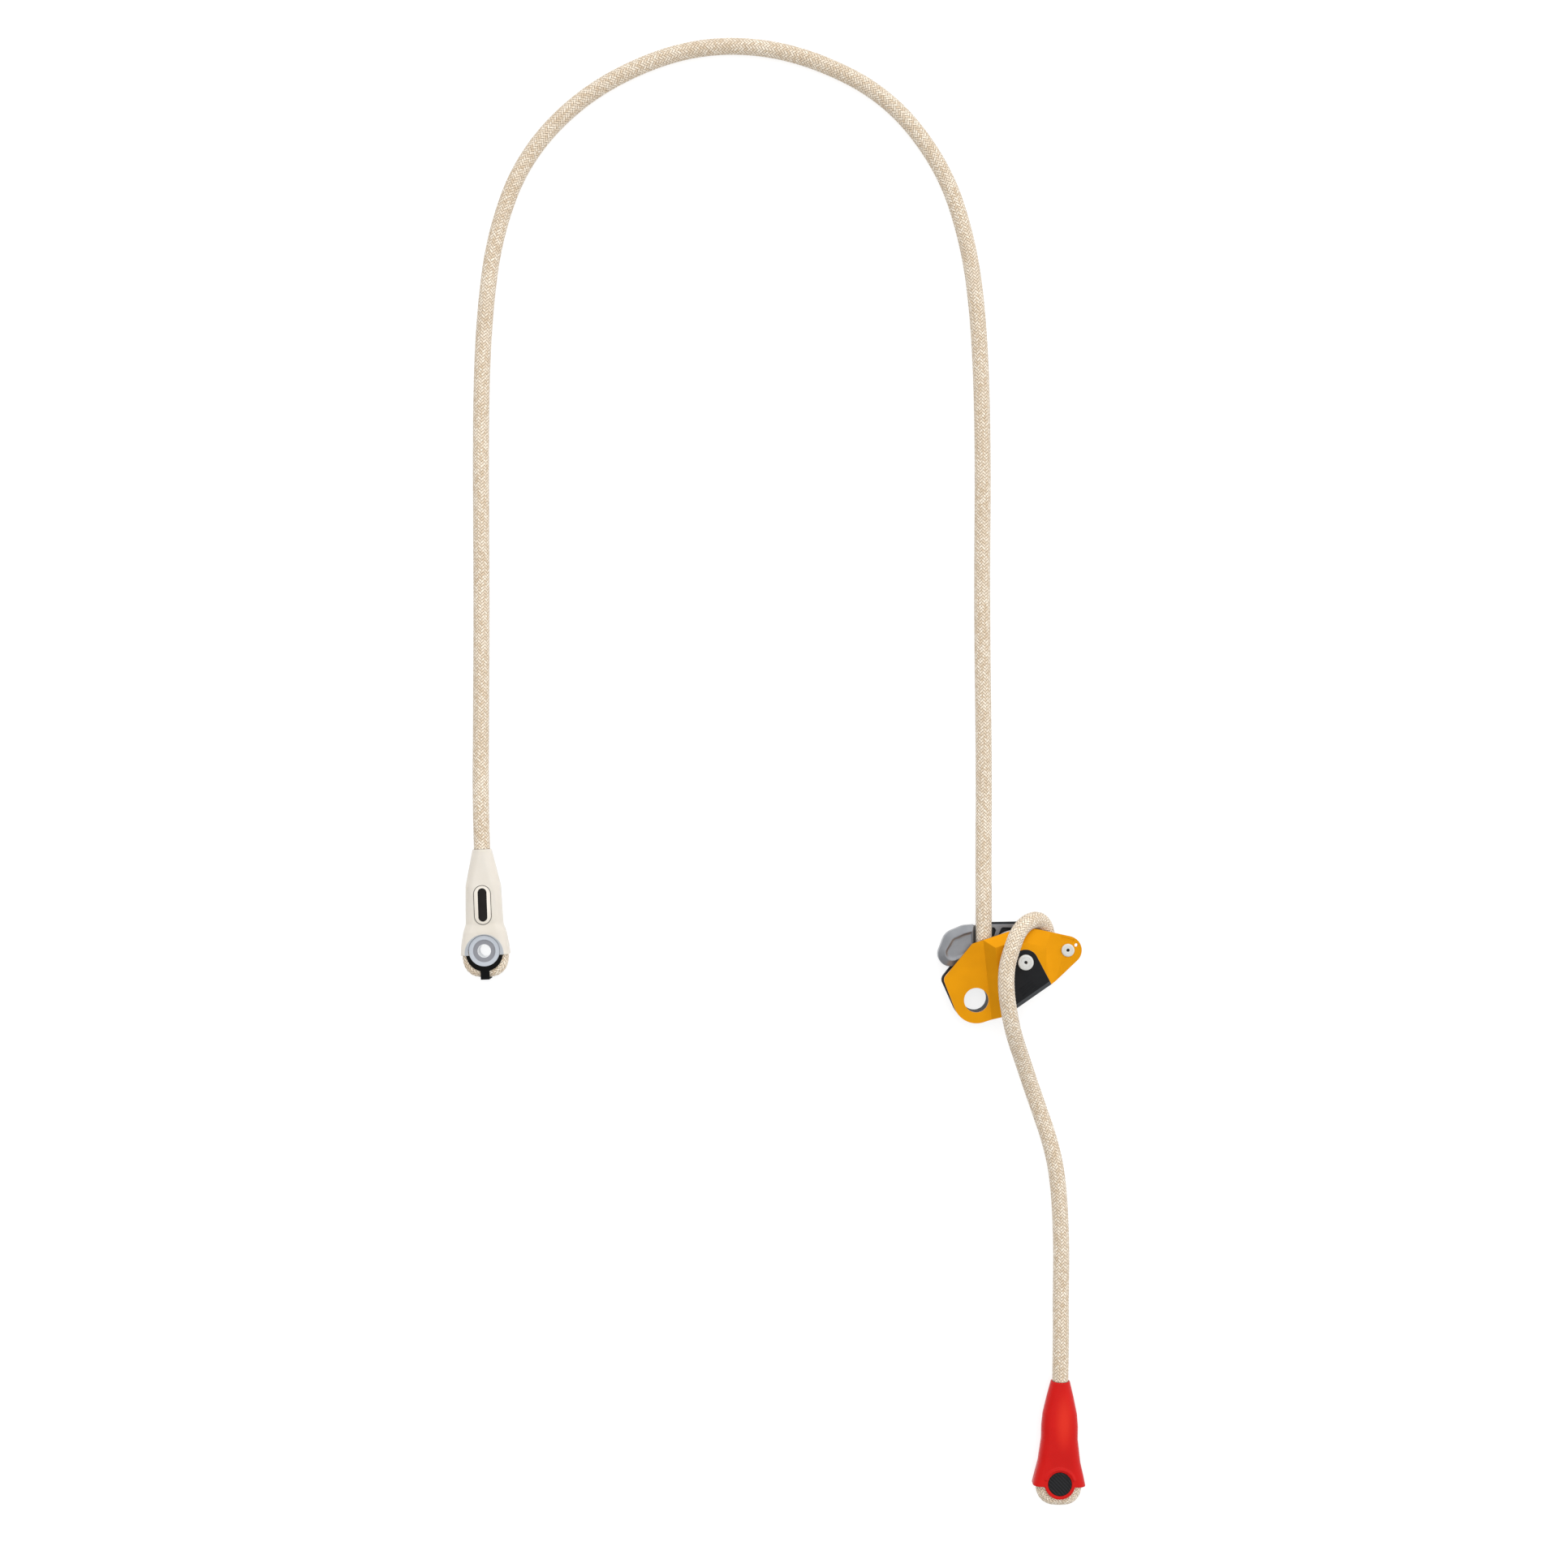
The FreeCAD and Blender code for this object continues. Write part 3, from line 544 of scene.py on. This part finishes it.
rope_finish = braided_polyamide()
gold = anodised_gold()
# Painted highlight: a lighter, glossier gold for the plate's broken edges, standing in for edges catching
# light.
gold_edge_highlight = anodised_gold("gold_painted_edge_highlight", "#FFC850", "#FFBC34", 0.34)
black_plate = anodised_black()
guard_plastic = moulded_plastic("black_guard_polyamide", "#131416", "#1A1B1D", 0.55, 0.6, 0.03,
                                Specular_IOR_Level=0.2)
# Painted highlight: a lighter grey for the guard's broken edges and sloping band, standing in for them
# catching light.
guard_painted_highlight = moulded_plastic("black_guard_painted_highlight", "#333639", "#3B3E42", 0.45, 0.6, 0.02)
liner_plastic = moulded_plastic("black_liner_acetal", "#050505", "#080808", 0.5, 0.5, 0.01,
                                Specular_IOR_Level=0.15)
red_plastic = moulded_plastic("red_sleeve_plastic", "#C80F09", "#BE0D07", 0.36, 0.9, 0.008,
                              Specular_IOR_Level=0.2)
clear_plastic = moulded_plastic("clear_sleeve_plastic", "#F8F2E8", "#F4EDE1", 0.36, 1.2, 0.01,
                                Transmission_Weight=0.35, IOR=1.45)
seen_through_or_highlight(clear_plastic, (0.0, -1.9), (13.9, 13.9), "#C3C8CE", 0.06)
# Painted highlight: a broad, lighter red oval on the front of the red sleeve.
seen_through_or_highlight(red_plastic, (2.2, 43.0), (8.0, 25.0), "#D62A18", 0.9)
plug_plastic = moulded_plastic("black_plug_plastic", "#121213", "#18191B", 0.6, 0.7, 0.08,
                               Specular_IOR_Level=0.25)
scored(plug_plastic, 1.3, 0.15)
thimble_rubber = moulded_plastic("black_thimble_rubber", "#050505", "#080808", 0.65, 0.8, 0.02,
                                 Specular_IOR_Level=0.15)
label_film = moulded_plastic("label_film", "#E4DDD2", "#DDD6CA", 0.4, 0.6, 0.01)
label_ink = moulded_plastic("label_ink", "#1B1816", "#221F1D", 0.6, 0.4, 0.01, Specular_IOR_Level=0.15)
ring_finish = ring_plastic()
cast_grey = blasted_casting("grey_cast_aluminium", "#9C9EA2", "#8D8F94", 0.36)
steel = turned_steel("stainless_steel", "#B9BABC", 0.25, 0.006)
bronze = sintered_bronze()
wire = drawn_wire()
thread = sewing_thread()
rivet_zinc = turned_steel("rivet_zinc", "#EAEAE6", 0.3, 0.006)
# Painted shade: near black for the rivets' centre dimples.
dimple_painted_shade = moulded_plastic("dimple_painted_shade", "#0E0E0E", "#161616", 0.6, 0.4, 0.02)


def finish_with(piece, *materials):
    """The piece wears these materials, in the order of its faces' indices."""
    piece.data.materials.clear()
    for material in materials:
        piece.data.materials.append(material)
    return piece


# ---------------------------------------------------------------- rope
def braid_height(right, left):
    """Height of the sheath, 0 to 1, at a place given in yarn spacings along both of its diagonals."""
    right_yarn = np.floor(right)
    left_yarn = np.floor(left)
    right_on_top = np.mod(right_yarn + left_yarn, 4) < 1.5
    across = np.where(right_on_top, right - right_yarn, left - left_yarn)
    run = np.where(right_on_top, np.mod(left + right_yarn, 4), np.mod(right + left_yarn, 4) - 2)
    return np.sin(math.pi * across) ** 0.7 * (0.5 + 0.5 * np.sin(math.pi / 2 * run))


def braided_tube(name, line, diameter, relief=0.45):
    """A braided rope along a line, with each yarn's rise and dip in the mesh. Sizes in millimetres."""
    per_yarn = 3
    sides = BRAID_YARNS * per_yarn
    row = math.pi * diameter / BRAID_YARNS * BRAID_ROW * MM
    points, distance = evenly_spaced(line, row / per_yarn)
    across, ups = carried_frames(points)
    around = (np.arange(sides) + 0.5) / per_yarn
    along = np.arange(len(points)) / per_yarn
    height = braid_height(around[None, :] + along[:, None], around[None, :] - along[:, None])
    radius = (diameter / 2 - relief * 0.55 + relief * height) * MM
    angles = around * 2 * math.pi / BRAID_YARNS
    ring = ring_directions(angles, across, ups)
    skin = (points[:, None, :] + radius[:, :, None] * ring).reshape(-1, 3)
    faces = tube_faces(len(points), sides)
    mesh = mesh_of(name, skin, faces)
    layer = mesh.uv_layers.new(name="braid")
    corners = np.zeros((len(mesh.loops), 2), np.float32)
    index = 0
    for face in faces[:-2]:
        ring_index = face[0] // sides
        side = face[0] % sides
        u0, u1 = around[side], around[side] + 1 / per_yarn
        v0, v1 = along[ring_index], along[ring_index + 1]
        corners[index:index + 4] = ((u0, v0), (u1, v0), (u1, v1), (u0, v1))
        index += 4
    layer.data.foreach_set("uv", corners.ravel())
    piece = shown(name, mesh)
    return finish_with(piece, rope_finish), points


main_route = [
    (0.0059, 0.041, 0.0123), (0.0059, 0.062, 0.0123), (0.0063, 0.104, 0.0064), (0.0068, 0.160, 0.0055),
    (0.0052, 0.275, 0.0055), (0.0062, 0.388, 0.0055), (0.0035, 0.470, 0.0055), (-0.004, 0.528, 0.0055),
    (-0.022, 0.582, 0.0055), (-0.061, 0.631, 0.0055), (-0.118, 0.659, 0.0055), (-0.171, 0.667, 0.0055),
    (-0.221, 0.658, 0.0055), (-0.275, 0.630, 0.0055), (-0.315, 0.587, 0.0055), (-0.335, 0.534, 0.0055),
    (-0.3425, 0.476, 0.0055), (-0.345, 0.407, 0.0055), (-0.3442, 0.285, 0.0055), (-0.3446, 0.190, 0.0055),
    (-0.34468, 0.13614, 0.008), (-0.34356, 0.10416, 0.008),
]
tail_route = [
    (0.0502, 0.0355, 0.0123), (0.0502, 0.0475, 0.0123), (0.0445, 0.056, 0.0185), (0.0355, 0.0555, 0.027),
    (0.0276, 0.0485, 0.033), (0.0229, 0.037, 0.036), (0.019, 0.024, 0.0375), (0.0187, 0.0085, 0.0375),
    (0.0217, -0.010, 0.034), (0.026, -0.0255, 0.026), (0.0324, -0.042, 0.0155), (0.0389, -0.060, 0.008),
    (0.045, -0.077, 0.0055), (0.0528, -0.0995, 0.0055), (0.0585, -0.125, 0.0055), (0.061, -0.170, 0.0055),
    (0.0603, -0.212, 0.0055), (0.06028, -0.23452, 0.008), (0.05972, -0.26651, 0.008),
]
ROPE_DIAMETER = 11.0
ROPE_IN_SLEEVE = 10.0   # squeezed by its stitching
LEG_OFFSET = 5.5        # middle of each rope leg, from the sleeve's middle

rope_main, main_line = braided_tube("rope_main", spline_points(main_route), ROPE_DIAMETER)
rope_tail, tail_line = braided_tube("rope_tail_run", spline_points(tail_route), ROPE_DIAMETER)


def held_stretch():
    """The rope inside the adjuster: down past the cam, around under it, and up past the anvil."""
    left, right = Vector(main_route[0]), Vector(tail_route[0])
    radius = (right.x - left.x) / 2
    middle_x = (right.x + left.x) / 2
    turn_y = 27.6 * MM
    turn = [(middle_x - radius * math.cos(a), turn_y - radius * math.sin(a), left.z)
            for a in np.linspace(0, math.pi, 60)]
    line = np.array([tuple(left)] + turn + [tuple(right)])
    return braided_tube("rope_held", line, ROPE_DIAMETER)[0]


rope_held = held_stretch()

# ---------------------------------------------------------------- the two sewn ends
# Each is built in its own frame: x across the sleeve, y towards the rope, z from its middle plane.
clear_end_place = Matrix.Translation((-0.3411, 0.0336, 0.008)) @ Matrix.Rotation(math.radians(2.0), 4, "Z")
red_end_place = Matrix.Translation((0.0585, -0.3364, 0.008)) @ Matrix.Rotation(math.radians(-1.0), 4, "Z")


def at_end(piece, place):
    """Places a piece that was built in a sewn end's own frame."""
    piece.matrix_world = place
    return piece


def from_cad(piece, place):
    """Gives a piece with a CAD node's shape the sewn end's own frame, without moving it."""
    piece.data.transform(place.inverted())
    piece.matrix_world = place
    return piece


def eye_rope(name, length, drop, place):
    """The rope's end, which runs into the sleeve, around the eye and back beside itself.
    Along y, length is where it comes in and drop is where the middle of the eye is."""
    bend, leg = 10.6, LEG_OFFSET
    low = drop - bend
    route = [(0, length), (0, length - 10), (leg, length - 28), (leg, 19), (bend * 0.93, drop + 6.5),
             (bend * 1.06, drop), (bend * 0.98, drop - 6.8), (bend * 0.62, low), (0, low - 0.3),
             (-bend * 0.62, low), (-bend * 0.98, drop - 6.8), (-bend * 1.06, drop),
             (-bend * 0.93, drop + 6.5), (-leg, 19), (-leg, length - 26)]
    line = spline_points([(x * MM, y * MM, 0.0) for x, y in route])
    return at_end(braided_tube(name, line, ROPE_IN_SLEEVE)[0], place)


def stitching(name, place, passes=15):
    """Thread sewn and wound around both legs of the rope, pass beside pass."""
    flat = LEG_OFFSET
    radius = ROPE_IN_SLEEVE / 2 + 0.25
    low, high = 24.6, 36.0
    steps = 40
    points = []
    for index in range(passes * steps + 1):
        turn = index / steps
        share = (turn % 1.0) * 4
        y = low + (high - low) * index / (passes * steps)
        if share < 1:
            x, z = flat - 2 * flat * share, radius
        elif share < 2:
            angle = math.pi / 2 + math.pi * (share - 1)
            x, z = -flat + radius * math.cos(angle), radius * math.sin(angle)
        elif share < 3:
            x, z = -flat + 2 * flat * (share - 2), -radius
        else:
            angle = -math.pi / 2 + math.pi * (share - 3)
            x, z = flat + radius * math.cos(angle), radius * math.sin(angle)
        points.append((x * MM, y * MM, z * MM))
    piece = shown(name, plain_tube(name, np.array(points), 0.24 * MM, 6))
    return at_end(finish_with(piece, thread), place)


def arc_bar(name, radius, start, end, height, thickness, samples=40):
    """A round bar bent to part of a circle about Z. Angles in degrees, sizes in millimetres."""
    line = [(radius * MM * math.cos(math.radians(a)), radius * MM * math.sin(math.radians(a)), height * MM)
            for a in np.linspace(start, end, samples)]
    return plain_tube(name, np.array(line), thickness * MM, 12)


clear_eye = eye_rope("clear_end_eye", 70.6, -2.7, clear_end_place)
red_eye = eye_rope("red_end_eye", 69.9, -0.6, red_end_place)
clear_thread = stitching("clear_end_thread", clear_end_place)
red_thread = stitching("red_end_thread", red_end_place)

clear_cover = finish_with(moulded("clear_cover", "clear_sleeve", 0.4, 4), clear_plastic)
from_cad(clear_cover, clear_end_place)

plug_rim = arc_bar("plug_rim", 10.2, 15, 165, 7.9, 1.0)
plug_rim.transform(red_end_place)
red_cover = finish_with(moulded("red_cover", "red_sleeve", 0.4, 4, [plug_rim]), red_plastic)
from_cad(red_cover, red_end_place)

ring_piece = finish_with(edge_softened("ring_piece", "keeper_ring", 0.3), ring_finish, ring_finish)
from_cad(ring_piece, clear_end_place)
thimble_piece = finish_with(edge_softened("thimble_saddle", "thimble", 0.35), thimble_rubber, thimble_rubber)


def blank_label():
    """A blank moulded label: a capsule outline around a plain bar."""
    def capsule(half_width, low, high, inset):
        r = half_width - inset
        return pulled_belt([(0, low + half_width, r), (0, high - half_width, r)], 24)

    top = 7.1
    film_edge = capsule(6.4, 17.9, 46.0, 0.0)
    film = stacked("label_film", [lifted(film_edge, top - 0.05), lifted(film_edge, top + 0.12),
                                  lifted(capsule(6.4, 17.9, 46.0, 0.15), top + 0.2)])
    bar_edge = capsule(3.1, 20.4, 43.6, 0.0)
    bar = stacked("label_bar", [lifted(bar_edge, top + 0.1), lifted(bar_edge, top + 0.26),
                                lifted(capsule(3.1, 20.4, 43.6, 0.1), top + 0.3)])
    outline = [(x * MM, y * MM, (top + 0.2) * MM) for x, y in capsule(5.9, 18.4, 45.5, 0.0)]
    line = plain_tube("label_line", evenly_spaced(np.array(outline + outline[:2]), 0.4 * MM)[0], 0.22 * MM, 6)
    return (at_end(finish_with(shown("label_plate", film), label_film), clear_end_place),
            at_end(finish_with(shown("label_bar", bar), label_ink), clear_end_place),
            at_end(finish_with(shown("label_outline", line), label_ink), clear_end_place))


label_plate, label_bar, label_outline = blank_label()


def eye_plug():
    """The black plug: a spool with a turned-down core between its two round heads."""
    head, core, low, high = 8.2, 5.2, 5.2, 8.1
    profile = [(0.0, -8.0), (head - 0.6, -8.0), (head - 0.15, -7.85), (head, -7.4), (head, -low),
               (core, -low), (core, low), (head, low), (head, high - 0.6), (head - 0.15, high - 0.15),
               (head - 0.6, high), (head - 1.6, high), (head - 1.9, high - 0.25), (0.0, high - 0.25)]
    return at_end(finish_with(shown("plug_body", turned("plug_body", profile)), plug_plastic), red_end_place)


plug_body = eye_plug()

# ---------------------------------------------------------------- adjuster
# The plate's broken edges wear the painted highlight gold.
plate = finish_with(edge_softened("gold_plate", "front_plate", 0.45), gold, gold_edge_highlight)
back_plate = finish_with(edge_softened("black_plate", "rear_plate", 0.4), black_plate, black_plate)
guard = finish_with(edge_softened("guard_cover", "cam_guard", 0.3), guard_plastic, guard_painted_highlight)
# Sloping faces, picked by their normal, take the lighter grey of the painted highlight.
for face in guard.data.polygons:
    sloping = 0.2 < face.normal.z < 0.97
    if sloping:
        face.material_index = 1


def guard_ribs():
    """Three low grip ribs across the guard, parallel to its sloping band."""
    along = Vector((24.1, 16.8, 0)).normalized()
    uphill = Vector((-along.y, along.x, 0))
    top = 25.4
    ribs = bmesh.new()
    for step in range(3):
        middle = Vector((39.0, 2.4, 0)) + uphill * (5.2 + 2.2 * step)
        ends = [middle - along * 5.0, middle + along * 5.0]
        outline = pulled_belt([(end.x, end.y, 0.5) for end in ends], 10)
        crest = pulled_belt([(end.x, end.y, 0.3) for end in ends], 10)
        rib = stacked("rib", [lifted(outline, top - 0.2), lifted(outline, top + 0.15),
                              lifted(crest, top + 0.3)])
        ribs.from_mesh(rib)
        bpy.data.meshes.remove(rib)
    return finish_with(shown("guard_ribs", mesh_from(ribs, "guard_ribs")), guard_plastic)


ribs_on_guard = guard_ribs()

LEVER_ARM_TOP = 6.4     # front face of the flat arm, where the pad begins
PAD_DISCS = [(-17.5, 31.0, 8.4), (-12.3, 37.6, 10.9), (-6.0, 40.8, 10.4), (0.0, 43.4, 8.2), (0.0, 36.0, 8.0)]


def thumb_pad():
    """The raised pad: a broad chamfer, a thin raised lip, and a shallow dish for the thumb."""
    outline = pulled_belt(PAD_DISCS, 16)
    middle = (-9.0, 37.5)
    levels = [(0.0, 4.0), (0.0, 11.8), (0.25, 12.6), (4.6, 15.1), (5.0, 15.3), (5.4, 15.3), (5.8, 15.0),
              (6.9, 14.3), (8.0, 14.0)]
    rings = []
    for inset, height in levels:
        ring = []
        for x, y in outline:
            reach = math.hypot(x - middle[0], y - middle[1])
            share = max(0.05, (reach - inset) / reach)
            x_in = min(middle[0] + (x - middle[0]) * share, -0.8 - 0.25 * inset)
            ring.append((x_in, middle[1] + (y - middle[1]) * share, height))
        rings.append(ring)
    rings.append([(middle[0] + (x - middle[0]) * 0.3, middle[1] + (y - middle[1]) * 0.3, 13.7)
                  for x, y, height in rings[-1]])
    return stacked("thumb_pad", rings)


def thumb_lever():
    """The cast lever: the flat arm from its CAD node, with the pad run into it."""
    shape = welded([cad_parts["release_lever"].data])
    whole = shape.verts[:] + shape.edges[:] + shape.faces[:]
    cut = bmesh.ops.bisect_plane(shape, geom=whole, plane_co=(0, 0, LEVER_ARM_TOP * MM), plane_no=(0, 0, 1),
                                 clear_outer=True)
    rim = [part for part in cut["geom_cut"] if isinstance(part, bmesh.types.BMEdge)]
    bmesh.ops.holes_fill(shape, edges=rim, sides=0)
    return moulded_from("thumb_lever", [mesh_from(shape, "lever_arm"), thumb_pad()], 0.35, 3)


lever = finish_with(thumb_lever(), cast_grey)
hole_liner = finish_with(edge_softened("hole_liner", "connector_bushing", 0.25), liner_plastic, liner_plastic)

AXLE = Vector((33.5, 26.6, 0)) * MM
TIP_RIVET = Vector((62.9, 34.8, 0)) * MM


def rivet(name, at, shaft, head, seat, rear_head=1.4, height=1.5):
    """A shaft with a flush rear head, and a raised front head with a turned ring and a centre dimple coloured
    near black as painted shade.
    """
    top = seat + height
    profile = [(0.0, 0.35), (0.9, 0.35), (1.1, 0.0), (head - 0.2, 0.0), (head, 0.2), (head, rear_head),
               (shaft, rear_head), (shaft, seat), (head - 0.1, seat), (head, seat + 0.2), (head, top - 0.55),
               (head - 0.18, top - 0.15), (head - 0.6, top), (head * 0.66, top), (head * 0.64, top - 0.08),
               (head * 0.6, top - 0.08), (head * 0.58, top), (1.3, top), (1.05, top - 0.2), (0.95, top - 1.1),
               (0.0, top - 1.2)]
    piece = shown(name, turned(name, profile))
    piece.location = at
    finish_with(piece, rivet_zinc, dimple_painted_shade)
    # Faces in the centre dimple take the painted shade.
    for face in piece.data.polygons:
        middle = face.center
        in_dimple = middle.z > (top - 1.3) * MM and math.hypot(middle.x, middle.y) < 1.02 * MM
        if in_dimple:
            face.material_index = 1
    return piece


axle_rivet = rivet("axle_rivet", AXLE, 4.0, 5.5, 25.4)
small_rivet = rivet("small_rivet", TIP_RIVET, 3.0, 4.6, 22.7)

# ---------------------------------------------------------------- what rides on what
on_frame = {
    rope_main: ("braided_polyamide_rope", ["rope_main_run"]),
    rope_tail: ("braided_polyamide_rope", ["rope_tail"]),
    rope_held: ("braided_polyamide_rope", ["rope_in_adjuster"]),
    clear_eye: ("braided_polyamide_rope", ["clear_end_rope_eye"]),
    red_eye: ("braided_polyamide_rope", ["red_end_rope_eye"]),
    clear_thread: ("sewing_thread", ["clear_end_stitching"]),
    red_thread: ("sewing_thread", ["red_end_stitching"]),
    clear_cover: ("translucent_moulded_plastic", ["clear_sleeve"]),
    red_cover: ("red_moulded_plastic", ["red_sleeve"]),
    ring_piece: ("grey_moulded_plastic", ["keeper_ring"]),
    thimble_piece: ("black_moulded_rubber", ["thimble"]),
    label_plate: ("blank_label_film", ["clear_end_label"]),
    label_bar: ("blank_label_film", []),
    label_outline: ("blank_label_film", []),
    plug_body: ("black_moulded_plastic", ["eye_plug"]),
    plate: ("gold_anodised_aluminium", ["front_plate"]),
    back_plate: ("black_anodised_aluminium", ["rear_plate"]),
    guard: ("black_moulded_plastic", ["cam_guard"]),
    ribs_on_guard: ("black_moulded_plastic", []),
    hole_liner: ("black_moulded_plastic", ["connector_bushing"]),
    axle_rivet: ("zinc_plated_steel", ["cam_axle"]),
    small_rivet: ("zinc_plated_steel", ["tip_rivet"]),
}
on_lever = {lever: ("grey_cast_aluminium", ["release_lever"])}
for body, pieces in (("frame", on_frame), ("lever", on_lever)):
    for piece, (slot, nodes) in pieces.items():
        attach(piece, body)
        if nodes:
            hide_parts(*nodes)

kept_nodes = {
    "cam": steel, "cam_bushing": bronze, "rope_anvil": steel, "drive_pin": steel, "spring_post": steel,
    "spring_anchor_pin": steel, "axle_spacer": steel, "return_spring": wire,
}
for node, material in kept_nodes.items():
    finish_with(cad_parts[node], material)


# ---------------------------------------------------------------- studio
def make_floor():
    """A plain white acrylic sheet, lit from behind, that the lanyard lies on."""
    half = 6.0
    corners = [(-half, -half, 0), (half, -half, 0), (half, half, 0), (-half, half, 0)]
    floor = shown("floor", mesh_of("floor", corners, [(0, 1, 2, 3)], False))
    floor.location.z = -0.2 * MM
    material = new_material("backlit_white_acrylic", Base_Color=linear("#8F8F8F"), Roughness=0.9,
                            Specular_IOR_Level=0.05, Emission_Color=linear("#FFFFFF"),
                            Emission_Strength=0.78)[0]
    finish_with(floor, material)


def soft_light(name, place, size, power):
    light = bpy.data.lights.new(name, "AREA")
    light.size = size
    light.energy = power
    lamp = bpy.data.objects.new(name, light)
    bpy.context.scene.collection.objects.link(lamp)
    lamp.location = place
    lamp.visible_glossy = False
    aim = Vector((-0.1, 0.15, 0.0)) - Vector(place)
    lamp.rotation_mode = "QUATERNION"
    lamp.rotation_quaternion = aim.to_track_quat("-Z", "Y")


def make_world():
    """Pale surroundings, brightest beyond the rope's bend (+Y) and dimmest to the left (-X)."""
    world = bpy.data.worlds.new("studio")
    world.use_nodes = True
    bpy.context.scene.world = world
    tree = world.node_tree
    tree.nodes["Background"].inputs["Color"].default_value = (1.0, 1.0, 1.0, 1.0)
    facing = add(tree, "SeparateXYZ", None, {0: add(tree, "TexCoord").outputs["Generated"]})
    side_share = maths(tree, "MULTIPLY_ADD", facing.outputs[0], 0.24, 0.86)
    level = maths(tree, "MULTIPLY_ADD", facing.outputs[1], 0.44, side_share)
    tree.links.new(maths(tree, "MAXIMUM", level, 0.3), tree.nodes["Background"].inputs["Strength"])


make_floor()
make_world()
soft_light("key", (-0.1, 0.9, 2.0), 1.6, 12.0)
soft_light("overhead", (-0.1, 0.15, 2.4), 1.4, 9.0)
bpy.context.scene.view_settings.view_transform = "Standard"
